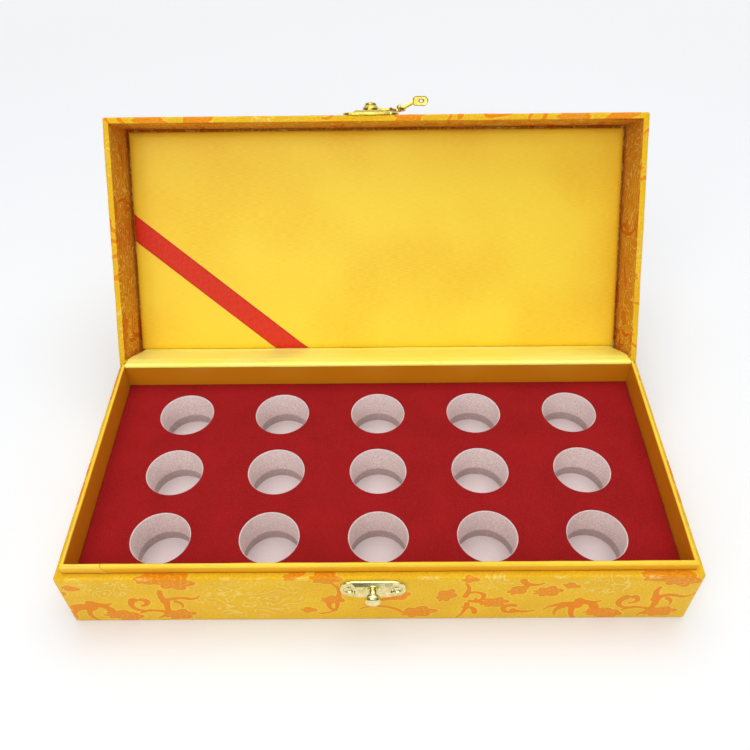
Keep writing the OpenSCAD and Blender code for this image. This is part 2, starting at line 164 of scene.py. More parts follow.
SIDES = []
for side, steps in enumerate(STEPS):
    SIDES += [side] * (steps + IN_CORNER // 2) + [(side + 1) % 4] * (IN_CORNER // 2)
edge = outline(0)
AROUND = [0.0]
for k in range(len(edge)):
    AROUND.append(AROUND[-1] + math.dist(edge[k], edge[(k + 1) % len(edge)]))
print("a strip round the box is", round(AROUND[-1]), "mm long, in", len(edge), "steps")


def strip_uv(column, side, place, length):
    """Cloth wound round the box as one strip, measured from the middle of the front wall."""
    return AROUND[column] - BOX_W / 2 + CORNER_R, length


def wrapped_uv(column, side, place, length):
    """Cloth that comes down from the lid's top on all four sides, like a cross."""
    x, y = place
    half_w, half_d = BOX_W / 2, BOX_D / 2
    return [(x, length - half_d), (half_w - length, y), (x, half_d - length), (length - half_w, y)][side]


def mesh_piece(name, points, faces, flat=None):
    """A mesh object from points in mm. flat gives one (u, v) in mm for each corner of each face."""
    mesh = bpy.data.meshes.new(name)
    mesh.from_pydata([Vector(p) * MM for p in points], [], faces)
    if flat:
        layer = mesh.uv_layers.new(name="UVMap")
        for place, (u, v) in zip(layer.data, [uv for corners in flat for uv in corners]):
            place.uv = (u * MM, v * MM)
    return put_in_scene(name, mesh)


def swept_cloth(name, profile, flat_place, keep=None):
    """Carries a profile of (inset, z, length along the cloth) round the box."""
    count = len(edge)
    points = []
    for inset, z, _ in profile:
        points += [(x, y, z) for x, y in outline(inset)]
    faces, flat = [], []
    for row in range(len(profile) - 1):
        low, high = row * count, (row + 1) * count
        for column in range(count):
            after = (column + 1) % count
            corners = [low + column, low + after, high + after, high + column]
            if keep and not keep(sum((Vector(points[c]) for c in corners), Vector()) / 4):
                continue
            faces.append(corners)
            flat.append([
                flat_place(column + step, SIDES[column], edge[(column + step) % count], profile[row + up][2])
                for step, up in ((0, 0), (1, 0), (1, 1), (0, 1))
            ])
    return mesh_piece(name, points, faces, flat)


def with_lengths(profile, start):
    """Adds to each (inset, z) how far along the cloth it lies."""
    length, done = start, []
    for k, here in enumerate(profile):
        if k:
            length += math.dist(here, profile[k - 1])
        done.append((*here, length))
    return done


def grid_faces(rows, columns):
    """The faces of a grid whose points were listed row by row, as lists of four point numbers."""
    wide = columns + 1
    firsts = [row * wide + column for row in range(rows) for column in range(columns)]
    return [[first, first + wide, first + wide + 1, first + 1] for first in firsts]


# %% [markdown]
# ## Finishing a piece
# A modifier stays live until it is applied. These pieces are applied at once, so that their thickness
# is real mesh. Real cloth is never quite flat either, so a helper moves each point a hair along its
# normal by smooth noise, which is the same on every run.

# %% Helpers that finish a piece
def select_only(piece):
    bpy.ops.object.select_all(action="DESELECT")
    piece.select_set(True)
    bpy.context.view_layer.objects.active = piece


@contextmanager
def editing(piece):
    """Edit mode, with all of the piece selected."""
    select_only(piece)
    bpy.ops.object.mode_set(mode="EDIT")
    bpy.ops.mesh.select_all(action="SELECT")
    yield
    bpy.ops.object.mode_set(mode="OBJECT")


def apply_modifier(piece, kind, **settings):
    """Adds a modifier with these settings and applies it."""
    select_only(piece)
    modifier = piece.modifiers.new(kind.lower(), kind)
    for key, value in settings.items():
        setattr(modifier, key, value)
    bpy.ops.object.modifier_apply(modifier=modifier.name)


def join_pieces(piece, other):
    select_only(piece)
    other.select_set(True)
    bpy.ops.object.join()


def tidy_mesh(piece, merge=0.01):
    """Drops loose points and merges those that lie within that many mm."""
    with editing(piece):
        bpy.ops.mesh.remove_doubles(threshold=merge * MM)
        bpy.ops.mesh.delete_loose()


def ruffle(piece, size, depth, where=None):
    """Moves each point along its normal by smooth noise: size and depth are in mm."""
    moves = []
    for point in piece.data.vertices:
        amount = depth if where is None else depth * where(point.co / MM)
        moves.append(point.normal * amount * MM * noise.noise(point.co / (size * MM)))
    for point, move in zip(piece.data.vertices, moves):
        point.co += move


def smooth(piece, angle=40):
    select_only(piece)
    bpy.ops.object.shade_smooth_by_angle(angle=math.radians(angle))


def finish_cloth(piece, thickness, angle, on_lid=False):
    """Thickens cloth inwards from the face that shows, and swings it open if it is the lid's."""
    apply_modifier(piece, "SOLIDIFY", thickness=thickness * MM, offset=-1, use_even_offset=False)
    if on_lid:
        piece.data.transform(swing_open)
    smooth(piece, angle)


# %% [markdown]
# ## Finishes
# Each finish is a small tree of nodes. Nodes do arithmetic, so a helper class lets a formula be
# written almost as on paper. Distances inside the trees are in millimetres, because thread, nap and
# foam cells are all thought of at that scale.

# %% A helper for node trees
class Nodes:
    """Adds nodes to a tree. Each method returns the new node's output socket."""

    def __init__(self, tree):
        self.tree = tree

    def put(self, socket, value):
        if isinstance(value, bpy.types.NodeSocket):
            self.tree.links.new(value, socket)
        elif isinstance(value, tuple) and socket.type == "RGBA":
            socket.default_value = (*value, 1)
        else:
            socket.default_value = value

    def add(self, kind, inputs=(), **settings):
        node = self.tree.nodes.new(kind)
        for key, value in settings.items():
            setattr(node, key, value)
        pairs = inputs.items() if isinstance(inputs, dict) else enumerate(inputs)
        for key, value in pairs:
            self.put(node.inputs[key], value)
        return node

    def calc(self, operation, *numbers):
        return self.add("ShaderNodeMath", numbers, operation=operation).outputs[0]

    def times(self, first, second):
        return self.calc("MULTIPLY", first, second)

    def minus(self, first, second):
        return self.calc("SUBTRACT", first, second)

    def times_plus(self, first, second, third):
        """The first times the second, plus the third."""
        return self.calc("MULTIPLY_ADD", first, second, third)

    def vector(self, operation, *vectors):
        measured = operation in ("LENGTH", "DISTANCE")
        node = self.add("ShaderNodeVectorMath", vectors, operation=operation)
        return node.outputs["Value" if measured else "Vector"]

    def scaled(self, vector, factor):
        return self.add("ShaderNodeVectorMath", {0: vector, "Scale": factor}, operation="SCALE").outputs[0]

    def split(self, vector):
        return self.add("ShaderNodeSeparateXYZ", [vector]).outputs

    def join(self, x, y, z=0.0):
        return self.add("ShaderNodeCombineXYZ", [x, y, z]).outputs[0]

    def step(self, value, low, high):
        """0 at low, 1 at high, smooth between."""
        ends = [value, low, high, 0.0, 1.0]
        return self.add("ShaderNodeMapRange", ends, interpolation_type="SMOOTHSTEP").outputs[0]

    def beside(self, value, middle, far, near):
        """1 closer than near to the middle value, 0 further off than far."""
        return self.step(self.calc("ABSOLUTE", self.minus(value, middle)), far, near)

    def mixed(self, share, first, second):
        """The first colour where the share is 0, the second where it is 1."""
        node = self.add("ShaderNodeMix", {0: share, 6: first, 7: second}, data_type="RGBA")
        return node.outputs[2]

    def tinted(self, colour, *tints):
        """Lays tints over a colour, one by one. Each is a share, its strength and a colour."""
        for share, strength, tint in tints:
            colour = self.mixed(self.times(share, strength), colour, tint)
        return colour

    def noise(self, place, scale, detail=2.0, colour=False):
        node = self.add("ShaderNodeTexNoise", {"Vector": place, "Scale": scale, "Detail": detail})
        return node.outputs["Color" if colour else "Fac"]

    def threads(self, place, along, across, detail=2.0):
        """Noise stretched along the cloth."""
        return self.noise(self.vector("MULTIPLY", place, (along, across, 0.0)), 1.0, detail)

    def millimetres(self, flat):
        """The place in mm: on the unfolded cloth if flat, else in the object's own space."""
        source = self.add("ShaderNodeTexCoord").outputs["UV" if flat else "Object"]
        return self.scaled(source, 1000.0)


def new_finish(name, roughness, metallic=0.0, specular=0.5, tint=(1.0, 1.0, 1.0)):
    """A material with its shader, ready for a colour, and the Nodes of its tree."""
    material = bpy.data.materials.new(name)
    material.use_nodes = True
    shader = material.node_tree.nodes["Principled BSDF"]
    shader.inputs["Roughness"].default_value = roughness
    shader.inputs["Metallic"].default_value = metallic
    shader.inputs["Specular IOR Level"].default_value = specular
    shader.inputs["Specular Tint"].default_value = (*tint, 1)
    return material, shader, Nodes(material.node_tree)


def colour_and_grain(n, shader, colour, height, depth):
    """Colours and bumps the surface: height runs from 0 to 1 and depth is in mm."""
    n.put(shader.inputs["Base Color"], colour)
    bump = n.add("ShaderNodeBump", {"Height": height, "Distance": depth * MM, "Strength": 1.0})
    n.put(shader.inputs["Normal"], bump.outputs[0])


# %% [markdown]
# ## The brocade's drawing
# The cloth is a traditional scroll brocade: orange vines with comma leaves, curls and scalloped
# flowers on a golden ground, and cloud shapes drawn in pale metallic thread between them. Two small
# shapes are enough to draw it. A stroke is part of a ring that grows thicker or thinner along its
# way. A blossom is an oval with a scalloped edge. Both give the distance to their edge, and the
# smallest distance of all is the whole drawing.

# %% Draw one stroke and one blossom
def new_group(name, inputs, outputs):
    """A node group with these float or vector inputs: the group, its Nodes and its input sockets."""
    group = bpy.data.node_groups.new(name, "ShaderNodeTree")
    for label in inputs.split():
        kind = "NodeSocketVector" if label in ("Place", "Centre", "Size") else "NodeSocketFloat"
        group.interface.new_socket(label, in_out="INPUT", socket_type=kind)
    for label in outputs.split():
        group.interface.new_socket(label, in_out="OUTPUT", socket_type="NodeSocketFloat")
    return group, Nodes(group), group.nodes.new("NodeGroupInput").outputs


def close_group(n, *results):
    leave = n.tree.nodes.new("NodeGroupOutput")
    for socket, result in zip(leave.inputs, results):
        n.put(socket, result)


def make_stroke():
    group, n, sockets = new_group("stroke", "Place Centre Radius Middle Half Width Taper", "Distance")
    place, centre, radius, middle, half, width, taper = sockets[:7]
    spot = n.vector("SUBTRACT", place, centre)
    x, y, _ = n.split(spot)
    turn = n.calc("WRAP", n.minus(n.calc("ARCTAN2", y, x), middle), math.pi, -math.pi)
    turn = n.calc("MAXIMUM", n.calc("MINIMUM", turn, half), n.times(half, -1.0))
    aim = n.calc("ADD", turn, middle)
    rim = n.join(n.times(n.calc("COSINE", aim), radius), n.times(n.calc("SINE", aim), radius))
    close_group(n, n.minus(n.vector("DISTANCE", spot, rim), n.times_plus(turn, taper, width)))
    return group


CENTRE_SHIFT, VEINS_AT, VEIN_WIDTH = 0.3, (-0.3, -0.62), 0.04


def make_blossom():
    group, n, sockets = new_group("blossom", "Place Centre Turn Size Lobes Depth Scale", "Distance Vein")
    place, centre, turn, size, lobes, depth, scale = sockets[:7]
    around = {"Vector": n.vector("SUBTRACT", place, centre), "Angle": turn}
    spot = n.add("ShaderNodeVectorRotate", around, rotation_type="Z_AXIS").outputs[0]
    spot = n.vector("DIVIDE", spot, size)
    x, y, _ = n.split(spot)
    angle = n.calc("ARCTAN2", y, n.calc("ADD", x, CENTRE_SHIFT))
    wave = n.calc("ABSOLUTE", n.calc("COSINE", n.times(n.times(angle, lobes), 0.5)))
    across = n.minus(n.vector("LENGTH", spot), n.times_plus(n.minus(wave, 1.0), depth, 1.0))
    veins = [n.calc("COMPARE", across, at, VEIN_WIDTH) for at in VEINS_AT]
    close_group(n, n.times(across, scale), n.calc("MAXIMUM", *veins))
    return group


# %% [markdown]
# Four motifs share one repeat of 226 mm, and each row is shifted by half of it, as on a loom. A
# stroke is written as its centre, radius, first and last angle, and half width at each end. A blossom
# is written as its centre, turn, half length, half width and number of lobes. A cloud's oval is
# written as its centre, half length and half width. All are in mm.

# %% Write down the motifs
REPEAT, ROW = 226.0, 46.0
MOTIFS = {
    -101.0: (
        [
            (-13.5, -3.0, 16.6, -52, 7, 0.6, 1.8),
            (12.0, 5.0, 11.0, 213, 158, 1.8, 0.9),
            (9.0, -6.5, 9.2, 142, 60, 1.7, 0.8),
            (14.8, 5.2, 3.9, -118, -5, 1.1, 0.3),
            (5.4, -4.6, 4.8, 62, -25, 1.2, 0.3),
            (-8.7, -3.4, 5.2, -60, -238, 0.7, 1.9),
            (-8.6, -1.4, 2.7, 80, -95, 1.4, 0.9),
            (-4.5, -19.0, 10.4, 128, 55, 0.7, 1.2),
            (-30.5, -10.0, 6.2, 12, 150, 2.2, 1.3),
            (-25.0, -11.5, 10.0, 168, 262, 1.4, 0.4),
        ],
        [
            (9.5, 16.5, -8, 9.8, 6.4, 7), (-1.8, 19.0, 14, 6.4, 4.6, 5),
            (-16.8, -15.0, 8, 6.6, 3.8, 6), (7.0, -12.6, 8, 8.2, 4.8, 7),
        ],
    ),
    -5.0: (
        [
            (-30.0, 6.0, 17.0, 58, -18, 0.5, 1.2),
            (-13.6, -5.0, 4.6, 70, 250, 1.5, 0.9),
            (-22.5, -4.0, 8.5, 20, -95, 1.1, 0.5),
            (4.0, -22.0, 16.0, 118, 48, 0.5, 1.2),
            (6.0, 9.0, 9.0, 215, 300, 0.5, 1.6),
        ],
        [
            (-16.8, 0.8, 20, 5.4, 3.6, 6), (-27.6, -9.0, -5, 4.0, 2.8, 4), (-18.5, 18.6, -6, 7.4, 4.6, 6),
            (-33.0, 20.4, 12, 5.2, 3.0, 5), (15.0, 3.0, 30, 5.0, 3.6, 5), (23.5, -11.6, 10, 9.0, 5.0, 7),
        ],
    ),
    45.0: (
        [
            (-20.0, -7.0, 15.6, -42, 10, 0.5, 1.5),
            (-16.0, 8.0, 11.8, -28, 30, 1.4, 0.8),
            (-1.0, 2.0, 4.2, 150, -120, 0.8, 1.2),
            (10.0, 6.0, 12.0, -150, -78, 1.0, 0.8),
            (-4.5, -12.0, 4.6, 110, -10, 0.8, 1.6),
            (16.4, -9.4, 3.4, 60, 300, 1.3, 1.0),
            (23.0, 0.0, 12.0, -118, -62, 1.6, 0.4),
        ],
        [
            (-14.0, 3.6, 60, 6.0, 4.6, 6), (8.4, -3.2, 6, 7.0, 4.8, 7),
            (18.4, 8.2, 40, 5.6, 4.2, 5), (-4.0, 17.6, 0, 4.2, 2.6, 4),
        ],
    ),
    88.0: (
        [
            (-18.0, 18.0, 5.6, -160, -40, 1.7, 0.6),
            (-1.4, -16.5, 11.6, 148, 62, 0.4, 2.7),
            (9.4, 4.4, 8.0, -128, -52, 2.4, 0.4),
            (2.0, -13.0, 7.4, 118, 200, 2.0, 0.5),
        ],
        [(-11.0, 6.6, 8, 7.0, 4.8, 7), (-1.0, 11.6, -15, 4.2, 2.8, 4), (16.4, -12.6, 4, 8.6, 4.0, 6)],
    ),
}
CLOUDS = ((-58, 1, 25, 17), (52, 15, 9, 6), (103, 12, 13, 8))
print("the brocade repeats", len(MOTIFS), "motifs every", REPEAT, "mm")


# %% [markdown]
# The cloud shapes in pale thread are contour lines of a smooth noise, kept to a few ovals between
# the vines. Real silk is never drawn with a ruler, so the whole drawing is first pushed about by a
# slow noise of a millimetre or so.

# %% Compose the drawing
WANDER, CONTOURS = 2.2, 8.0
LOBE_DEPTH, SOFT_JOINT = 0.3, 0.7


def repeated(n, place, centre):
    """The place as seen from the nearest repeat of a motif."""
    x, y, _ = n.split(place)
    row = n.calc("ROUND", n.calc("DIVIDE", y, ROW))
    up = n.times_plus(row, -ROW, y)
    along = n.times_plus(row, -REPEAT / 2, n.minus(x, centre))
    return n.join(n.calc("WRAP", along, REPEAT / 2, -REPEAT / 2), up)


def make_drawing():
    """The group gives how far a place is from the orange drawing, its veins, the pale thread in its
    clouds, and the same thread wherever the drawing leaves room."""
    stroke, blossom = make_stroke(), make_blossom()
    group, n, sockets = new_group("brocade drawing", "Place", "Distance Vein Clouds Everywhere")
    wander = n.vector("SUBTRACT", n.noise(sockets[0], 0.12, 1.0, colour=True), (0.5, 0.5, 0.5))
    place = n.vector("ADD", sockets[0], n.scaled(wander, WANDER))
    nearest = vein = cloud = None
    for centre, (strokes, blossoms) in MOTIFS.items():
        spot = repeated(n, place, centre)
        for x, y, radius, first, last, from_w, to_w in strokes:
            half = math.radians(last - first) / 2
            settings = {
                "Place": spot, "Centre": (x, y, 0), "Radius": radius,
                "Middle": math.radians(first + last) / 2, "Half": abs(half),
                "Width": (from_w + to_w) / 2, "Taper": (to_w - from_w) / 2 / half,
            }
            found = n.add("ShaderNodeGroup", settings, node_tree=stroke).outputs[0]
            nearest = n.calc("SMOOTH_MIN", nearest, found, SOFT_JOINT) if nearest else found
        for x, y, turn, long, wide, lobes in blossoms:
            settings = {
                "Place": spot, "Centre": (x, y, 0), "Turn": -math.radians(turn), "Size": (long, wide, 1),
                "Lobes": lobes, "Depth": LOBE_DEPTH, "Scale": wide * 0.9,
            }
            found, lines = n.add("ShaderNodeGroup", settings, node_tree=blossom).outputs
            nearest = n.calc("MINIMUM", nearest, found)
            vein = n.calc("MAXIMUM", vein, lines) if vein else lines
    for x, y, long, wide in CLOUDS:
        spot = n.vector("SUBTRACT", repeated(n, place, 0.0), (x, y, 0))
        oval = n.minus(1.0, n.vector("LENGTH", n.vector("DIVIDE", spot, (long, wide, 1))))
        cloud = n.calc("MAXIMUM", cloud, oval) if cloud else oval
    swirl = n.noise(n.vector("MULTIPLY", place, (0.05, 0.085, 1.0)), 1.0, 1.0)
    line = n.beside(n.calc("FRACT", n.times(swirl, CONTOURS)), 0.5, 0.17, 0.05)
    everywhere = n.times(line, n.step(nearest, 0.8, 1.4))
    close_group(n, nearest, vein, n.times(everywhere, n.step(cloud, -0.3, 0.3)), everywhere)
    return group


# %% [markdown]
# ## Brocade
# The ground is golden silk and the drawing is orange silk, each figure edged by a paler line where
# the two weaves meet. The cloud shapes and a scatter of flecks are flat metal thread, which is why
# their metallic value rises and their roughness falls. Along the tray's top fold, patches of that
# thread are painted in as a painted highlight, where light catches the fold. The weave itself is a
# bump of fine warp and weft. Inside the lid the same cloth is given a deeper, more orange colour,
# which is painted shade for the inside of the walls, with pale thread all over.

# %% Weave the brocade
EDGE_THREAD, VEIN_THREAD, METAL_THREAD = (0.88, 0.62, 0.09), (0.82, 0.48, 0.07), (0.92, 0.75, 0.24)
WARP_PITCH, WEFT_PITCH = 0.4, 0.46
SILK_ROUGHNESS = 0.46
drawing = make_drawing()


def make_brocade(name, ground, scroll, shade, fleck_from, pale, thread_in="Clouds", fold_glint_at=None):
    """fleck_from is the noise level above which metal thread shows, and pale is the strength of the
    pale lines. thread_in is where they run. The fold argument is the v of a fold along which patches of
    pale metal thread are painted in, a painted highlight where light catches the fold."""
    material, shader, n = new_finish(name, SILK_ROUGHNESS, specular=0.22, tint=(1.0, 0.72, 0.2))
    place = n.millimetres(flat=True)
    drawn = n.add("ShaderNodeGroup", {"Place": place}, node_tree=drawing).outputs
    nearest, vein, thread = drawn["Distance"], drawn["Vein"], drawn[thread_in]
    x, y, _ = n.split(place)
    figure = n.step(nearest, 0.16, -0.16)
    edging = n.beside(nearest, 0.42, 0.34, 0.1)
    streak = n.threads(place, 0.55, 3.6)
    fleck = n.times(n.step(streak, fleck_from, fleck_from + 0.09), 0.75)
    metal = n.calc("MAXIMUM", n.times(thread, pale), fleck)
    # Painted highlight: patches of pale metal thread along the fold, where light catches its edge.
    if fold_glint_at:
        fold_glint_patches = n.step(n.noise(n.join(x, 0.0), 0.07, 2.0), 0.5, 0.62)
        painted_fold_glint = n.times(n.beside(y, fold_glint_at, 1.5, 0.3), n.times(fold_glint_patches, n.step(streak, 0.42, 0.6)))
        metal = n.calc("MAXIMUM", metal, n.times(painted_fold_glint, 0.9))
    cloudy = n.step(n.noise(place, 0.05, 3.0), 0.3, 0.7)
    grain = n.step(n.noise(place, 1.1, 3.0), 0.38, 0.62)
    colour = n.tinted(
        n.mixed(figure, ground, scroll),
        (cloudy, 0.28, shade), (grain, 0.42, shade), (edging, pale, EDGE_THREAD),
        (n.times(vein, figure), 0.55, VEIN_THREAD),
    )
    n.put(shader.inputs["Metallic"], n.times(metal, 0.7))
    n.put(shader.inputs["Roughness"], n.times_plus(metal, -0.16, SILK_ROUGHNESS))
    weft = n.calc("SINE", n.times(y, 2 * math.pi / WEFT_PITCH))
    warp = n.calc("SINE", n.times(x, 2 * math.pi / WARP_PITCH))
    height = n.times_plus(streak, 0.9, n.times_plus(n.times(weft, warp), 0.3, 0.5))
    colour_and_grain(n, shader, n.mixed(metal, colour, METAL_THREAD), height, 0.08)
    return material


brocade = make_brocade(
    "brocade", (0.88, 0.56, 0.022), (0.86, 0.225, 0.002), (0.66, 0.29, 0.006), 0.66, 0.5, fold_glint_at=18.5
)
# A darker, more orange copy of the brocade: painted shade for the inside of the lid's walls.
shaded_lining_brocade = make_brocade(
    "brocade_lining_painted_shade", (0.74, 0.30, 0.010), (0.66, 0.12, 0.002), (0.46, 0.11, 0.004), 0.58, 0.8,
    thread_in="Everywhere",
)

# %% [markdown]
# ## Satin
# Satin is smooth because most of its threads float along one way. So its grain is a noise that is
# stretched a long way along the cloth and hardly at all across it, with a soft gloss on top and a
# paler painted sheen laid over it in soft clouds. The neck's satin gets painted shade on its sides,
# so its rounded top looks lit, and a painted sheen and a line of painted shade at its seam. The hinge
# liner's paler satin is a painted highlight. The ribbon is a coarser weave, with a firm selvedge on
# both sides.

# %% Weave the satin and the ribbon
def make_satin(name, dark, light, painted_sheen, seam_at=None, roll_with_painted_shade=None):
    """dark and light are its threads, and the third colour is a paler painted sheen laid over them in
    soft clouds. seam_at is the (u, v) in mm of a slanted seam. The roll argument is where the neck's
    rounded top starts and ends: below it the sides are darkened as painted shade, more inside than out."""
    material, shader, n = new_finish(name, 0.36, specular=0.8, tint=(1.0, 0.84, 0.3))
    place = n.millimetres(flat=True)
    x, y, _ = n.split(place)
    threads = n.threads(place, 0.25, 7.0, 3.0)
    cloudy = n.step(n.noise(place, 0.016, 1.5), 0.34, 0.62)
    colour = n.tinted(n.mixed(n.step(threads, 0.3, 0.7), dark, light), (cloudy, 0.5, painted_sheen))
    height = n.times(threads, 0.12)
    # Painted shade: the neck's sides, outside and inside, are darkened below its rounded top, so the top
    # looks lit.
    if roll_with_painted_shade:
        outside, inside = n.step(y, roll_with_painted_shade[0], roll_with_painted_shade[0] - 1.2), n.step(y, roll_with_painted_shade[1], roll_with_painted_shade[1] + 0.7)
        colour = n.tinted(
            colour, (outside, 0.75, (0.72, 0.31, 0.006)), (inside, 0.92, (0.60, 0.21, 0.004))
        )
    # The overlapping piece is lightened as a painted sheen, and the seam's edge gets a dark line of painted
    # shade. The overlap's step is a real bump.
    if seam_at:
        slant = n.times_plus(n.minus(y, seam_at[1]), 0.6, x)
        layer = n.step(slant, seam_at[0] + 0.12, seam_at[0] - 0.12)
        painted_crease_shade = n.beside(slant, seam_at[0], 0.4, 0.1)
        colour = n.tinted(colour, (layer, 0.4, (0.98, 0.66, 0.10)), (painted_crease_shade, 0.6, (0.40, 0.16, 0.01)))
        height = n.calc("ADD", height, layer)
    colour_and_grain(n, shader, colour, height, 0.25)
    return material


# Each satin is its dark thread, its light thread and the paler colour of its painted sheen.
PLAIN_SATIN = (0.86, 0.49, 0.018), (0.95, 0.67, 0.04), (0.97, 0.75, 0.055)
# The hinge liner's satin is paler all over, a painted highlight for the light that it reflects.
PAINTED_HIGHLIGHT_SATIN = (0.97, 0.86, 0.09), (0.99, 0.96, 0.20), (1.0, 1.0, 0.32)
satin = make_satin("satin", *PLAIN_SATIN)
liner_satin_painted_highlight = make_satin("satin_liner", *PAINTED_HIGHLIGHT_SATIN)
neck_satin = make_satin("satin_neck", *PLAIN_SATIN, seam_at=(-125.0, 12.0), roll_with_painted_shade=(12.6, 14.6))

RIBBON_W, TWILL_PITCH = 12, 0.9
ribbon, shader, n = new_finish("ribbon", 0.38, specular=0.35, tint=(1.0, 0.45, 0.35))
place = n.millimetres(flat=True)
x, y, _ = n.split(place)
twill = n.calc("SINE", n.times(n.calc("ADD", x, n.times(y, 2.0)), 2 * math.pi / TWILL_PITCH))
cross = n.threads(place, 2.5, 0.3)
selvedge = n.step(n.calc("ABSOLUTE", y), 5.1, 5.5)
red = n.mixed(n.step(cross, 0.3, 0.7), (0.60, 0.024, 0.012), (0.74, 0.042, 0.018))
red = n.tinted(red, (selvedge, 0.5, (0.42, 0.01, 0.012)))
colour_and_grain(n, shader, red, n.times_plus(twill, 0.25, cross), 0.04)

# %% [markdown]
# ## Flock and foam
# Flock is a nap of short fibres, so it is matt, with a faint brushed bloom and a grain of about half
# a millimetre. The foam is cut, so its wall shows broken cells, and a few of them get near-white
# specks of painted sparkle. The foam is greyer in a band near the bottom of the pockets.

# %% Make the flock and the foam
flock, shader, n = new_finish("flock", 0.92, specular=0.2)
place = n.millimetres(flat=False)
nap = n.noise(place, 2.2, 4.0)
brushed = n.step(n.noise(place, 0.06, 3.0), 0.3, 0.7)
red = n.mixed(n.step(nap, 0.3, 0.7), (0.19, 0.003, 0.004), (0.42, 0.008, 0.010))
colour_and_grain(n, shader, n.tinted(red, (brushed, 0.25, (0.44, 0.010, 0.012))), nap, 0.25)


def make_foam(name, wall_light, wall_dark, band_and_glint_share):
    """The share argument is the strength of the grey band, the pale top edge and the near-white specks of
    painted sparkle.
    """
    material, shader, n = new_finish(name, 0.75)
    place = n.millimetres(flat=False)
    cells = n.noise(place, 1.7, 3.0)
    fine = n.noise(place, 5.0, 2.0)
    z = n.split(place)[2]
    band_top = n.step(n.calc("ADD", z, cells), FOAM_Z + 7.0, FOAM_Z + 5.6)
    # The grey band at the bottom, the pale top edge, and near-white specks on the cells that are painted
    # sparkle.
    colour = n.tinted(
        n.mixed(n.step(cells, 0.32, 0.66), wall_dark, wall_light),
        (n.times(band_top, n.step(z, FOAM_Z, FOAM_Z + 0.4)), band_and_glint_share, (0.46, 0.35, 0.33)),
        (n.step(z, FLOCK_Z - 0.7, FLOCK_Z - 0.2), band_and_glint_share, (0.86, 0.76, 0.76)),
        (n.step(n.times(fine, cells), 0.33, 0.39), band_and_glint_share, (1.0, 0.96, 0.95)),
    )
    colour_and_grain(n, shader, colour, n.calc("ADD", cells, n.times(fine, 0.5)), 0.3)
    return material


foam = make_foam("foam", (0.97, 0.86, 0.84), (0.76, 0.57, 0.54), 0.8)
pad_foam = make_foam("pad_foam", (0.97, 0.88, 0.88), (0.92, 0.82, 0.82), 0.0)

# %% [markdown]
# ## Board, paper and brass
# Greyboard is pressed waste paper, so it carries fibres and specks. The brass is stamped, plated and
# tumbled: pale, bright, and very slightly uneven. The hook, its plate, their nails and the rivet are
# given a darker, yellower brass than the keeper.

# %% Make the board, the paper and the brass
def make_paper(name, roughness, dark, light, stretch, scale, depth):
    """Pressed fibres. stretch is how much finer they lie along each axis."""
    material, shader, n = new_finish(name, roughness)
    fibres = n.noise(n.vector("MULTIPLY", n.millimetres(flat=False), stretch), scale, 4.0)
    colour_and_grain(n, shader, n.mixed(n.step(fibres, 0.3, 0.7), dark, light), fibres, depth)
    return material


def make_brass(name, worn_colour, bright_colour, polish):
    material, shader, n = new_finish(name, polish, 1.0)
    place = n.millimetres(flat=False)
    worn = n.step(n.noise(place, 0.5, 3.0), 0.35, 0.7)
    n.put(shader.inputs["Roughness"], n.times_plus(worn, 0.1, polish))
    colour_and_grain(n, shader, n.mixed(worn, bright_colour, worn_colour), n.noise(place, 2.5, 3.0), 0.02)
    return material


greyboard = make_paper("greyboard", 0.9, (0.25, 0.22, 0.18), (0.42, 0.37, 0.31), (0.5, 0.5, 4.0), 1.0, 0.05)
paper = make_paper("paper", 0.85, (0.76, 0.73, 0.67), (0.86, 0.83, 0.78), (1.0, 1.0, 1.0), 1.2, 0.03)
brass = make_brass("brass", (0.70, 0.60, 0.22), (0.86, 0.80, 0.42), 0.14)
deep_brass = make_brass("brass_deep", (0.50, 0.36, 0.06), (0.70, 0.56, 0.14), 0.24)
print("finishes:", ", ".join(material.name for material in bpy.data.materials if material.node_tree))


def dress(piece, material):
    piece.data.materials.clear()
    piece.data.materials.append(material)


# %% [markdown]
# ## The tray's brocade
# On the real tray one strip of brocade is pasted round the walls. Its lower edge turns under the
# floor, and its upper edge goes over the ledge and down inside, behind the neck. The strip behind
# the hinge is left bare for the hinge's own cloth.

# %% Cover the tray
UNDER_LENGTH = 13.4
BEHIND = 66.7
under = [(14, 0.3), (5, 0.3), (1.0, 0.3), (0.3, 0.39), (0.09, 0.6)]
wall = [(0, 0.9 + 36.1 * k / 12) for k in range(13)]
ledge = [(0.09, 37.6), (0.35, 37.9), (0.9, 38.0), (1.8, 38.0), (2.7, 38.0), (3.25, 37.95), (3.5, 37.7)]
turned_in = [(3.55, 37.2), (3.55, 34.0), (3.55, 30.0), (3.55, 26.0)]
tray_profile = with_lengths(under + wall + ledge + turned_in, -UNDER_LENGTH - TRAY_TOP / 2)
tray_cover = swept_cloth(
    "tray_cover", tray_profile, strip_uv, keep=lambda p: not (p.y > BEHIND and 28.2 < p.z < 37.9)
)
tidy_mesh(tray_cover, 0.03)
ruffle(tray_cover, 9, 0.16, where=lambda p: 1 if p.z > 36.8 else 0.25 if p.z > 2 else 0)
finish_cloth(tray_cover, CLOTH, 50)
dress(tray_cover, brocade)
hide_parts("tray_brocade")
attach(tray_cover, "tray")
print("tray_cover has", len(tray_cover.data.polygons), "faces")

# %% [markdown]
# ## The lid's brocade
# The lid is covered by one sheet: flat over the top, down the four walls and over the rim. Its walls
# are swept like the tray's, and a grid fills the top. A second strip lines the inside of the walls.

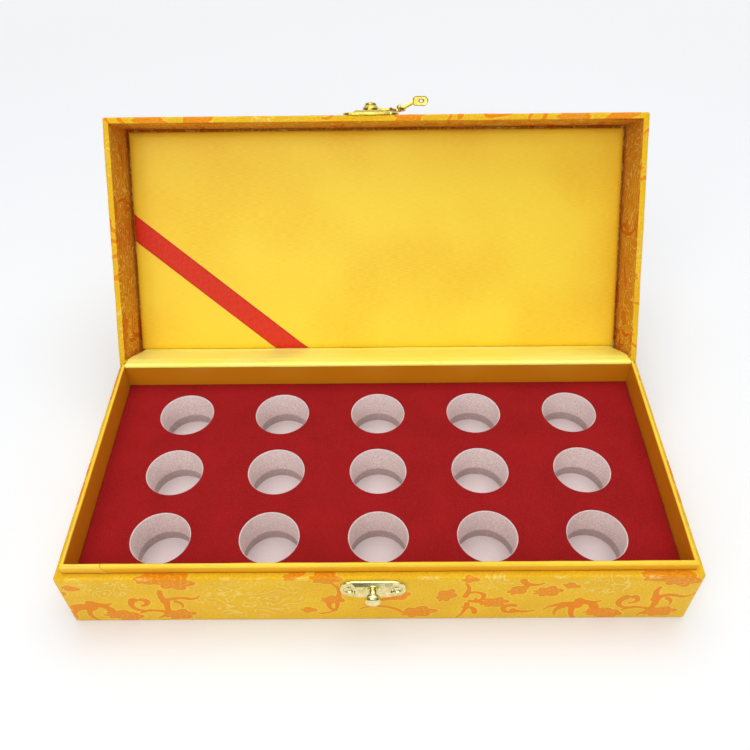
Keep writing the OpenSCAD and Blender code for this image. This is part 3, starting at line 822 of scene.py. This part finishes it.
# %% Cover the lid
TOP_INSET = 1.2
rim = [(3.2, 38.9), (3.1, 38.65), (2.7, 38.6), (1.8, 38.6), (0.9, 38.6), (0.35, 38.7), (0.09, 39.0)]
lid_wall = [(0, 39.4 + 35.2 * k / 12) for k in range(13)]
lid_fold = [(0.09, 75.1), (0.35, 75.45), (TOP_INSET, LID_TOP)]
lid_profile = with_lengths(rim + lid_wall + lid_fold, 0)
whole = lid_profile[-1][2]
lid_profile = [(inset, z, length - whole + TOP_INSET) for inset, z, length in lid_profile]
lid_cover = swept_cloth(
    "lid_cover", lid_profile, wrapped_uv, keep=lambda p: not (p.y > BEHIND and 38.7 < p.z < 48.6)
)

top_w, top_d = BOX_W / 2 - TOP_INSET, BOX_D / 2 - TOP_INSET
columns = [-top_w + 2 * top_w * k / ALONG_W for k in range(ALONG_W + 1)]
rows = [-top_d + 2 * top_d * k / ALONG_D for k in range(ALONG_D + 1)]
top_points = [(x, y, LID_TOP) for y in rows for x in columns]
top_faces = [[a, d, c, b] for a, b, c, d in grid_faces(ALONG_D, ALONG_W)]
top_flat = [[top_points[c][:2] for c in corners] for corners in top_faces]
join_pieces(lid_cover, mesh_piece("lid_top_cloth", top_points, top_faces, top_flat))
tidy_mesh(lid_cover, 0.05)
ruffle(lid_cover, 9, 0.16, where=lambda p: 1 if p.z < 39.6 else 0.25)
finish_cloth(lid_cover, CLOTH, 50, on_lid=True)
dress(lid_cover, brocade)
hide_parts("lid_brocade")
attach(lid_cover, "lid")
print("lid_cover has", len(lid_cover.data.polygons), "faces")

# %% Line the lid's walls
lining = [(4.7, 72.55), (3.6, 72.5)] + [(3.2, 72.2 - 32.8 * k / 14) for k in range(15)] + [(3.1, 39.15)]
lid_wall_lining = swept_cloth("lid_wall_lining", with_lengths(lining, -15), strip_uv)
tidy_mesh(lid_wall_lining, 0.03)
ruffle(lid_wall_lining, 14, 0.12)
finish_cloth(lid_wall_lining, CLOTH, 50, on_lid=True)
dress(lid_wall_lining, shaded_lining_brocade)
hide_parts("lid_lining")
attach(lid_wall_lining, "lid")
print("lid_wall_lining has", len(lid_wall_lining.data.polygons), "faces")

# %% [markdown]
# ## The satin neck
# Inside the tray stands a collar of thin card that the lid slips over. Satin is glued round it and
# down its inside. It is drawn a little fuller than the card, because the satin is padded by its own
# glue line and looks like a soft roll.

# %% Wrap the neck
neck_r = (NECK_IN - NECK_OUT) / 2
neck_outside = [(3.62, 30.0), (3.62, 36.0), (3.6, 38.2), (3.42, 39.4), (3.36, 41.0), (3.44, 42.3)]
neck_round = []
for turn in map(math.radians, range(15, 180, 15)):
    inset = NECK_OUT + neck_r - neck_r * math.cos(turn)
    neck_round.append((inset, NECK_TOP - neck_r + neck_r * math.sin(turn)))
neck_inside = [(5.2, 42.4), (5.2, 40.0), (5.2, 34.0), (5.2, 28.6), (5.2, 16.0), (5.2, 3.6)]
neck_wrap = swept_cloth("neck_wrap", with_lengths(neck_outside + neck_round + neck_inside, 0), strip_uv)
tidy_mesh(neck_wrap, 0.03)
ruffle(neck_wrap, 16, 0.12, where=lambda p: 1 if p.z > TRAY_TOP else 0.4)
finish_cloth(neck_wrap, SATIN, 60)
dress(neck_wrap, neck_satin)
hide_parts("neck_satin")
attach(neck_wrap, "tray")
print("neck_wrap has", len(neck_wrap.data.polygons), "faces")


# %% [markdown]
# ## Cloth across the hinge
# Two strips join the lid to the tray: brocade outside, glued to both back walls, and satin inside,
# from the neck over the lid's rim to the panel. On the real box both bend as the lid moves; here they
# are laid in the open pose and joined to neither body. The brocade turns across the corner between
# its two halves, so that neither half's own unevenness counts as a bend.

# %% Lay the strips across the hinge
def hung_strip(name, path, half_widths, columns, lifted=None):
    """A strip that runs the box's length: its (y, z) path in mm, and its half width at each point.
    lifted gives a (dy, dz) for an x and a length along the path."""
    points, lengths = [], [0]
    for k, (y, z) in enumerate(path):
        if k:
            lengths.append(lengths[-1] + math.dist(path[k - 1], path[k]))
        for c in range(columns + 1):
            x = half_widths[k] * (2 * c / columns - 1)
            dy, dz = lifted(x, lengths[-1]) if lifted else (0, 0)
            points.append((x, y + dy, z + dz))
    faces = grid_faces(len(path) - 1, columns)
    flat = [[(points[p][0], lengths[p // (columns + 1)]) for p in corners] for corners in faces]
    return mesh_piece(name, points, faces, flat)


wing = [(HINGE_Y, z) for z in (28.0, 30.0, 32.0, 34.0, 36.0, 37.2, 37.8)]
bend = [(67.06, 38.15)]
lid_wing = [opened(0, h) for h in (0.5, 1.0, 2.0, 4.0, 6.0, 8.0, 10.2)]
hinge_path = wing + bend + lid_wing
hinge_strip = hung_strip("hinge_strip", hinge_path, [144.9] * len(hinge_path), 120)
with editing(hinge_strip):
    bpy.ops.mesh.flip_normals()
ruffle(hinge_strip, 10, 0.08)
finish_cloth(hinge_strip, CLOTH, 50)
dress(hinge_strip, brocade)
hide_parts("hinge_cloth")
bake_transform(hinge_strip)

LINER_HALF, LID_END_HALF, DRAWN_IN, CORNER_ROWS = 139.4, 139.8, 2.2, 12.5
FOLD_REACH, LINER_LENGTH = 34, 36
neck_side = [(61.62, 42.5), (61.68, 43.05), (62.0, 43.5), (62.5, 43.7), (63.3, 43.72), (64.0, 43.5)]
across = [(65.2, 42.9), (66.4, 42.2), (67.6, 41.6)]
up_the_lid = [opened(3.55, h) for h in (0.2, 1.2, 3.0, 6.0, 10.0, 14.0, 18.0, 22.0, 25.0)]
up_the_lid += [opened(3.7, 27.0), opened(4.05, 28.6), opened(4.3, 29.8), opened(4.38, 31.6)]
liner_halves = [LINER_HALF] * len(neck_side + across)
for k in range(len(up_the_lid)):
    liner_halves.append(LID_END_HALF - DRAWN_IN * (1 - math.sqrt(1 - (k / CORNER_ROWS) ** 2)))


def creases(x, length):
    """Soft slanting folds where the satin is drawn in at its ends."""
    from_end = LINER_HALF - abs(x)
    fading = math.exp(-((from_end / FOLD_REACH) ** 2))
    fading *= max(0.0, min(1.0, (length - 3) / 6)) * max(0.0, min(1.0, (LINER_LENGTH - length) / 4))
    fold = math.sin((from_end - 0.75 * length) / 2.7) + 0.5 * math.sin((from_end - 0.4 * length) / 1.6 + 1)
    rise = 0.34 * fading * fold + 0.5 * fading
    return math.cos(OPEN) * rise, math.sin(OPEN) * rise


satin_liner = hung_strip("satin_liner", neck_side + across + up_the_lid, liner_halves, 180, creases)
ruffle(satin_liner, 14, 0.15)
finish_cloth(satin_liner, SATIN, 60)
dress(satin_liner, liner_satin_painted_highlight)
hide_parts("satin_hinge_liner")
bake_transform(satin_liner)
print("hinge_strip has", len(hinge_strip.data.polygons), "faces")
print("satin_liner has", len(satin_liner.data.polygons), "faces")


# %% [markdown]
# ## The insert
# The insert is a slab of pale foam on a thin pad, with a red flocked sheet over it. Fifteen round
# pockets are punched through both, and the flock's holes are a little wider, so a pale ring of foam
# shows. A flat curve with circles inside it fills itself and leaves the circles open, which is the
# quickest clean way to a punched plate.

# %% Punch the foam and the flock
POCKETS = [((column - 2) * PITCH_X, (row - 1) * PITCH_Y) for row in range(3) for column in range(5)]
HOLE_SIDES = 96


def add_loop(curve, corners):
    """Adds one closed run of (x, y) corners, in mm, to a flat curve."""
    loop = curve.splines.new("POLY")
    loop.points.add(len(corners) - 1)
    for point, (x, y) in zip(loop.points, corners):
        point.co = (x * MM, y * MM, 0, 1)
    loop.use_cyclic_u = True


def punched_slab(name, hole_r, low, high, edge_round):
    """A slab of the insert's size with fifteen round holes, between two heights in mm."""
    curve = bpy.data.curves.new(name, "CURVE")
    curve.dimensions = "2D"
    curve.fill_mode = "BOTH"
    half_w, half_d = INSERT_W / 2 - edge_round, INSERT_D / 2 - edge_round
    add_loop(curve, [(-half_w, -half_d), (half_w, -half_d), (half_w, half_d), (-half_w, half_d)])
    r = hole_r + edge_round
    turns = [-2 * math.pi * k / HOLE_SIDES for k in range(HOLE_SIDES)]
    for x, y in POCKETS:
        add_loop(curve, [(x + r * math.cos(turn), y + r * math.sin(turn)) for turn in turns])
    curve.extrude = ((high - low) / 2 - edge_round) * MM
    curve.bevel_depth = edge_round * MM
    curve.bevel_resolution = 2
    slab = put_in_scene(name, curve)
    select_only(slab)
    bpy.ops.object.convert(target="MESH")
    slab.data.transform(Matrix.Translation((0, 0, (low + high) / 2 * MM)))
    tidy_mesh(slab)
    return slab


foam_insert = punched_slab("foam_insert", POCKET_R, FOAM_Z, FLOCK_Z, 0.25)
smooth(foam_insert)
dress(foam_insert, foam)
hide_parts("foam_block")
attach(foam_insert, "tray")

flock_top = punched_slab("flock_top", FLOCK_HOLE_R, FLOCK_Z, FLOCK_TOP, 0.15)
smooth(flock_top)
dress(flock_top, flock)
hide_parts("flocked_sheet")
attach(flock_top, "tray")
print("the insert has", len(foam_insert.data.polygons), "and", len(flock_top.data.polygons), "faces")


# %% Cut the pad under the pockets
def add_block(name, size, centre):
    """A block of that size and centre, both in mm."""
    bpy.ops.object.select_all(action="DESELECT")
    bpy.ops.mesh.primitive_cube_add(size=1, location=Vector(centre) * MM)
    block = bpy.context.object
    block.name = name
    block.scale = Vector(size) * MM
    bpy.ops.object.transform_apply(location=True, rotation=True, scale=True)
    return block


pocket_pad = add_block("pocket_pad", (INSERT_W, INSERT_D, FOAM_Z - PAD_Z), (0, 0, (PAD_Z + FOAM_Z) / 2))
apply_modifier(pocket_pad, "BEVEL", width=0.6 * MM, segments=3, limit_method="NONE")
smooth(pocket_pad)
dress(pocket_pad, pad_foam)
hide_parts("pocket_floor_pad")
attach(pocket_pad, "tray")
print("the pad is", round(pocket_pad.dimensions.z / MM, 1), "mm thick")


# %% [markdown]
# ## The lid's padded panel
# A card is padded with thin foam and covered with satin, then glued inside the lid. Its face is very
# slightly crowned and rolls down at the edges. One function gives the height of the satin at any
# place, so the ribbon that crosses the corner can lie on exactly the same surface.

# %% Shape the panel
CROWN = 0.5


def panel_height(x, y, lift=0.0):
    """The satin's z in mm, lid shut, at a place on the panel."""
    reach_x = max(0.0, 1 - (x / (PANEL_W / 2)) ** 2)
    reach_y = max(0.0, 1 - (y / (PANEL_D / 2)) ** 2)
    edge_gap = max(0.0, min(PANEL_W / 2 - abs(x), PANEL_D / 2 - abs(y)))
    share = min(1.0, edge_gap / PANEL_ROLL)
    drop = PANEL_EDGE * (1 - math.sqrt(max(0.0, 1 - (1 - share) ** 2)))
    return PANEL_FACE - CROWN * (reach_x * reach_y) ** 0.5 + drop - lift


def stations(half):
    """Places across the panel: close together over the rolled edge, wider between."""
    near = [0.0, 0.15, 0.4, 0.8, 1.3, 2.0, 2.8, 3.6, 5.0]
    flat_part = 2 * half - 2 * near[-1]
    steps = int(flat_part / 2.6)
    middle = [-half + near[-1] + flat_part * k / steps for k in range(1, steps)]
    return [-half + gap for gap in near] + middle + [half - gap for gap in reversed(near)]


def crowned_grid(half_w, half_d, lift=0.0):
    """The panel's face as points and faces, with the numbers of the points round its border."""
    xs, ys = stations(half_w), stations(half_d)
    points = [(x, y, panel_height(x, y, lift)) for y in ys for x in xs]
    wide, last = len(xs), (len(ys) - 1) * len(xs)
    border = [*range(wide), *range(2 * wide - 1, last + wide, wide)]
    border += [*range(last + wide - 2, last - 1, -1), *range(last - wide, 0, -wide)]
    return points, grid_faces(len(ys) - 1, wide - 1), border


def add_skirt(points, faces, border, z):
    """Carries a border straight to a height z. The result is the new border."""
    fresh = [len(points) + k for k in range(len(border))]
    points += [(*points[k][:2], z) for k in border]
    for k in range(len(border)):
        faces.append([border[k - 1], border[k], fresh[k], fresh[k - 1]])
    return fresh


PANEL_SIDE = 70.8
panel_points, panel_faces, border = crowned_grid(PANEL_W / 2, PANEL_D / 2)
for z in (PANEL_SIDE, PANEL_BACK):
    border = add_skirt(panel_points, panel_faces, border, z)
panel_flat = [[panel_points[c][:2] for c in corners] for corners in panel_faces]
panel_cover = mesh_piece("panel_cover", panel_points, panel_faces, panel_flat)
tidy_mesh(panel_cover)
ruffle(panel_cover, 30, 0.12)
finish_cloth(panel_cover, SATIN, 60, on_lid=True)
dress(panel_cover, satin)
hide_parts("panel_satin")
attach(panel_cover, "lid")
print("panel_cover has", len(panel_cover.data.polygons), "faces")

# %% Pad the panel
PAD_INSET, PAD_LIFT, PAD_BACK = 0.4, -0.35, 71.15
pad_points, pad_faces, border = crowned_grid(PANEL_W / 2 - PAD_INSET, PANEL_D / 2 - PAD_INSET, PAD_LIFT)
pad_faces.append(add_skirt(pad_points, pad_faces, border, PAD_BACK))
panel_pad = mesh_piece("panel_pad", pad_points, pad_faces)
panel_pad.data.transform(swing_open)
smooth(panel_pad, 60)
dress(panel_pad, foam)
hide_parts("panel_foam")
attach(panel_pad, "lid")
print("panel_pad has", len(panel_pad.data.polygons), "faces")

# %% [markdown]
# ## The ribbon
# A flat red ribbon runs across the panel's lower left corner and is tucked under its edges.

# %% Lay the ribbon
RIBBON_LIFT, RIBBON_T, TUCK = 0.22, 0.2, 9
STEPS_ALONG, STEPS_ACROSS = 240, 20
HIDDEN_FROM = 71.0
UP_THE_SIDE, ALONG_THE_FOOT = 72.0, 90.0
left_end = Vector((-PANEL_W / 2, PANEL_D / 2 - UP_THE_SIDE))
foot_end = Vector((-PANEL_W / 2 + ALONG_THE_FOOT, PANEL_D / 2))
run = (foot_end - left_end).normalized()
across_run = Vector((-run.y, run.x))
length = (foot_end - left_end).length


def on_panel(x, y, lift):
    """A point on the satin, or round the panel's edge where it lies beyond it."""
    over = max(0.0, abs(x) - PANEL_W / 2, abs(y) - PANEL_D / 2)
    inside_x = max(-PANEL_W / 2 - lift, min(PANEL_W / 2 + lift, x))
    inside_y = max(-PANEL_D / 2 - lift, min(PANEL_D / 2 + lift, y))
    return inside_x, inside_y, panel_height(inside_x, inside_y, lift) + over


ribbon_points, flat_places = [], []
for k in range(STEPS_ALONG + 1):
    along = -TUCK + (length + 2 * TUCK) * k / STEPS_ALONG
    for c in range(STEPS_ACROSS + 1):
        off = -RIBBON_W / 2 + RIBBON_W * c / STEPS_ACROSS
        ribbon_points.append(on_panel(*(left_end + run * along + across_run * off), RIBBON_LIFT))
        flat_places.append((along, off))
ribbon_faces = [
    corners[::-1] for corners in grid_faces(STEPS_ALONG, STEPS_ACROSS)
    if max(ribbon_points[c][2] for c in corners) < HIDDEN_FROM
]
ribbon_flat = [[flat_places[c] for c in corners] for corners in ribbon_faces]
ribbon_strip = mesh_piece("ribbon_strip", ribbon_points, ribbon_faces, ribbon_flat)
tidy_mesh(ribbon_strip)
finish_cloth(ribbon_strip, RIBBON_T, 60, on_lid=True)
dress(ribbon_strip, ribbon)
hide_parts("corner_ribbon")
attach(ribbon_strip, "lid")
print("ribbon_strip has", len(ribbon_strip.data.polygons), "faces")

# %% [markdown]
# ## Board and paper
# The board, the card and the paper keep their CAD shapes, and only get their finish.

# %% Finish the board and the paper
for name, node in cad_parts.items():
    if name.endswith("_board") or name == "panel_card":
        dress(node, greyboard)
    elif name == "base_paper":
        dress(node, paper)

# %% [markdown]
# ## Turned brass
# The keeper's knob is a turned part. Starting from a small disc, its top face is drawn up and made
# wider or narrower, step by step, just as a lathe would follow a profile. The hook passes round the
# slim neck between the foot and the head.

# %% Turn the knob
def turned_piece(name, profile, sides=48):
    """A round piece on the z axis. profile lists (height, radius) in mm, from the bottom up."""
    bpy.ops.object.select_all(action="DESELECT")
    height, radius = profile[0]
    bpy.ops.mesh.primitive_circle_add(
        vertices=sides, radius=radius * MM, fill_type="NGON", location=(0, 0, height * MM)
    )
    piece = bpy.context.object
    piece.name = name
    bpy.ops.object.transform_apply(location=True, rotation=True, scale=True)
    with editing(piece):
        for new_height, new_radius in profile[1:]:
            rise = (new_height - height) * MM
            bpy.ops.mesh.extrude_region_move(TRANSFORM_OT_translate={"value": (0, 0, rise)})
            bpy.ops.transform.resize(value=(new_radius / radius, new_radius / radius, 1))
            height, radius = new_height, new_radius
        bpy.ops.mesh.select_all(action="SELECT")
        bpy.ops.mesh.normals_make_consistent(inside=False)
    return piece


CLASP_X, KEEPER_Z, HASP_Z = -2.5, 31.0, 45.0
face_front = Matrix.Rotation(math.radians(90), 4, "X")


def on_front(height):
    """Lays a piece that was made face up against the front wall, at that height in mm."""
    return Matrix.Translation(Vector((CLASP_X, -BOX_D / 2, height)) * MM) @ face_front


on_tray, on_lid = on_front(KEEPER_Z), swing_open @ on_front(HASP_Z)
foot = [(1.2, 4.3), (2.45, 4.2), (2.62, 3.6), (2.66, 1.95)]
stem = [(4.6, 1.9), (4.9, 2.3), (5.2, 2.9), (5.4, 3.2), (5.8, 3.25), (5.9, 2.8), (6.1, 2.8)]
head = [(6.2, 3.35), (6.5, 3.6), (7.3, 3.65), (7.9, 3.4), (8.4, 2.85), (8.75, 2.0), (8.95, 1.0), (9.0, 0.15)]
keeper_post = turned_piece("keeper_post", foot + stem + head)
keeper_post.data.transform(on_tray)
smooth(keeper_post, 35)
dress(keeper_post, brass)
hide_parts("keeper_knob")
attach(keeper_post, "tray")
print("keeper_post has", len(keeper_post.data.polygons), "faces")

# %% [markdown]
# ## Stamped plates
# Both plates come from one die: a raised oblong with sloping sides between two ears, each ear dished
# round its nail. An oblong block is drawn up and in, two discs are joined to it by a Boolean, and
# another Boolean takes the dishes out of them. A Bevel then gives the rounded edges that pressed
# metal has. The second plate is a copy of the first.

# %% Press the plates
def select_faces(piece, wanted):
    """Edit mode, with only the faces selected that the wanted test picks."""
    select_only(piece)
    bpy.ops.object.mode_set(mode="EDIT")
    bpy.ops.mesh.select_mode(type="FACE")
    bpy.ops.mesh.select_all(action="DESELECT")
    bpy.ops.object.mode_set(mode="OBJECT")
    for face in piece.data.polygons:
        face.select = wanted(face)
    bpy.ops.object.mode_set(mode="EDIT")


def copy_of(piece, name):
    return put_in_scene(name, piece.data.copy())


def round_edges(piece, sharper_than):
    """Bevels the edges of pressed metal that turn by more than that angle."""
    limit = math.radians(sharper_than)
    apply_modifier(piece, "BEVEL", width=0.2 * MM, segments=3, limit_method="ANGLE", angle_limit=limit)


PLATE_T, RAISED, PLATE_LOW, NAIL_X = 1.2, 2.5, -0.7, 10.75
EAR_STRETCH = 1.36
keeper_stamping = add_block("keeper_stamping", (20.2, 12.2, PLATE_T), (0, PLATE_LOW, PLATE_T / 2))
select_faces(keeper_stamping, lambda face: face.center.z > (PLATE_T - 0.001) * MM)
bpy.ops.mesh.inset(thickness=0.3 * MM)
bpy.ops.mesh.extrude_region_move(TRANSFORM_OT_translate={"value": (0, 0, (RAISED - PLATE_T) * MM)})
bpy.ops.transform.resize(value=(0.8, 0.78, 1))
bpy.ops.mesh.inset(thickness=1.4 * MM)
bpy.ops.transform.translate(value=(0, 0, -0.3 * MM))
bpy.ops.object.mode_set(mode="OBJECT")

for side in (-1, 1):
    ear = turned_piece("ear", [(0.0, 4.2), (1.0, 4.2), (1.3, 4.0), (1.3, 0.5)])
    ear.data.transform(Matrix.Diagonal((1, EAR_STRETCH, 1, 1)))
    dish = turned_piece("dish", [(0.45, 1.5), (0.5, 2.1), (0.9, 2.5), (1.35, 2.75), (4.0, 2.9)])
    for tool, how in ((ear, "UNION"), (dish, "DIFFERENCE")):
        tool.data.transform(Matrix.Translation((side * NAIL_X * MM, PLATE_LOW * MM, 0)))
        apply_modifier(keeper_stamping, "BOOLEAN", operation=how, solver="EXACT", object=tool)
        bpy.data.objects.remove(tool)
round_edges(keeper_stamping, 32)
smooth(keeper_stamping)

hasp_stamping = copy_of(keeper_stamping, "hasp_stamping")
for plate, node, body, metal, place in (
    (keeper_stamping, "keeper_plate", "tray", brass, on_tray),
    (hasp_stamping, "hasp_plate", "lid", deep_brass, on_lid),
):
    plate.data.transform(place)
    dress(plate, metal)
    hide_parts(node)
    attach(plate, body)
print("each plate has", len(keeper_stamping.data.polygons), "faces")

# %% [markdown]
# ## Nails
# Each plate is held by two small nails with domed heads, driven through its ears. One nail is
# turned, and the four that show are copies of it.

# %% Drive the nails
nail_profile = [(-2.2, 0.5), (0.46, 0.55), (0.48, 1.55), (0.7, 1.6), (1.05, 1.25), (1.22, 0.7), (1.27, 0.1)]
nail_shape = turned_piece("nail", nail_profile, 24)
for name, node, body, metal, place in (
    ("keeper_nail_pair", "keeper_nails", "tray", brass, on_tray),
    ("hasp_nail_pair", "hasp_nails", "lid", deep_brass, on_lid),
):
    pair = [copy_of(nail_shape, name) for _ in range(2)]
    for nail, side in zip(pair, (-1, 1)):
        nail.data.transform(place @ Matrix.Translation((side * NAIL_X * MM, PLATE_LOW * MM, 0)))
    join_pieces(*pair)
    smooth(pair[0])
    dress(pair[0], metal)
    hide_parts(node)
    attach(pair[0], body)
bpy.data.objects.remove(nail_shape)
print("nails sit", NAIL_X, "mm from the clasp's middle")

# %% [markdown]
# ## Rivet and hook
# The rivet is turned too: a flat cap over the hook's hub. The hook's strip is a copy of the CAD node
# itself, with its triangles merged. Its end is rolled into a curl on the real one, so a groove is
# pressed into both ends of the curl, between the strip's outer turn and its inner one.

# %% Turn the rivet's cap
cap = [(0.5, 1.2), (5.46, 1.2), (5.5, 2.7), (5.8, 3.0), (6.3, 2.95), (6.75, 2.4), (7.0, 1.4), (7.05, 0.15)]
rivet_cap = turned_piece("rivet_cap", cap)
rivet_cap.data.transform(on_lid)
smooth(rivet_cap, 35)
dress(rivet_cap, deep_brass)
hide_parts("pivot_rivet")
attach(rivet_cap, "lid")

# %% Roll the hook's curl
CURL_FROM = 20.0
hook_strip = copy_of(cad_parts["swing_hook"], "hook_strip")
hook_strip.data.transform(swing_open.inverted())
tidy_mesh(hook_strip)
with editing(hook_strip):
    bpy.ops.mesh.dissolve_limited(angle_limit=0.01)
    bpy.ops.mesh.select_all(action="SELECT")
    bpy.ops.mesh.bisect(plane_co=(CURL_FROM * MM, 0, 0), plane_no=(1, 0, 0))
select_faces(hook_strip, lambda face: abs(face.normal.z) > 0.9 and face.center.x > CURL_FROM * MM)
bpy.ops.mesh.inset(thickness=0.45 * MM, depth=-0.4 * MM)
bpy.ops.object.mode_set(mode="OBJECT")
round_edges(hook_strip, 35)
hook_strip.data.transform(swing_open)
smooth(hook_strip, 35)
dress(hook_strip, deep_brass)
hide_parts("swing_hook")
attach(hook_strip, "hook")
print("hook_strip has", len(hook_strip.data.polygons), "faces")

# %% [markdown]
# ## Floor and light
# The box stands on white paper under broad, soft lights, as in a small photo tent. A little way off,
# the paper as the camera sees it fades to plain white, so that no horizon shows. The light on the
# box stays as it was.

# %% Set the stage
FLOOR_SIZE, FADE_FROM, FADE_TO = 12, 0.35, 1.3
bpy.ops.object.select_all(action="DESELECT")
bpy.ops.mesh.primitive_plane_add(size=FLOOR_SIZE, location=(0, 0, 0))
floor = bpy.context.object
floor.name = "floor"
floor_finish, shader, n = new_finish("floor_white", 0.9)
shader.inputs["Base Color"].default_value = (0.90, 0.92, 0.95, 1)
away = n.vector("LENGTH", n.add("ShaderNodeTexCoord").outputs["Object"])
fade = n.times(n.step(away, FADE_FROM, FADE_TO), n.add("ShaderNodeLightPath").outputs["Is Camera Ray"])
glow = n.add("ShaderNodeEmission", {"Color": (1.0, 1.0, 1.0), "Strength": 1.0}).outputs[0]
surface = n.add("ShaderNodeMixShader", {0: fade, 1: shader.outputs[0], 2: glow}).outputs[0]
n.put(floor_finish.node_tree.nodes["Material Output"].inputs["Surface"], surface)
dress(floor, floor_finish)

AMBIENT, DIM_ROOM = 0.5, 0.14
world = bpy.data.worlds.new("studio")
bpy.context.scene.world = world
world.use_nodes = True
n = Nodes(world.node_tree)
background = world.node_tree.nodes["Background"]
background.inputs["Color"].default_value = (1, 1, 1, 1)
rays = n.add("ShaderNodeLightPath").outputs
x, y, z = n.split(n.add("ShaderNodeTexCoord").outputs["Generated"])
overhead = n.times_plus(y, 0.6, n.times_plus(n.calc("ABSOLUTE", x), -0.35, z))
mirrored = n.times_plus(n.step(overhead, -0.1, 0.85), 1.0 - DIM_ROOM, DIM_ROOM)
seen = n.calc("MAXIMUM", rays["Is Camera Ray"], rays["Is Transmission Ray"])
strength = n.add("ShaderNodeMix", {0: rays["Is Glossy Ray"], 2: AMBIENT, 3: mirrored}).outputs[0]
n.put(background.inputs["Strength"], n.calc("MAXIMUM", strength, seen))


def soft_light(name, place, aim, size, power):
    """A rectangular lamp at one place, turned to face another. Both are in metres."""
    lamp = bpy.data.lights.new(name, "AREA")
    lamp.shape = "RECTANGLE"
    lamp.size, lamp.size_y = size
    lamp.energy = power
    turn = (Vector(place) - Vector(aim)).to_track_quat("Z", "Y").to_matrix().to_4x4()
    put_in_scene(name, lamp).matrix_world = Matrix.Translation(Vector(place)) @ turn


soft_light("key", (-0.3, -0.95, 1.1), (0, 0.05, 0.05), (1.1, 0.9), 7.8)
soft_light("low front", (0.4, -1.15, 0.5), (0, 0.05, 0.05), (0.9, 0.6), 1.2)
soft_light("overhead", (0.1, 0.35, 1.4), (0, 0.2, 0), (1.4, 1.2), 9.5)

bpy.context.scene.view_settings.view_transform = "Standard"
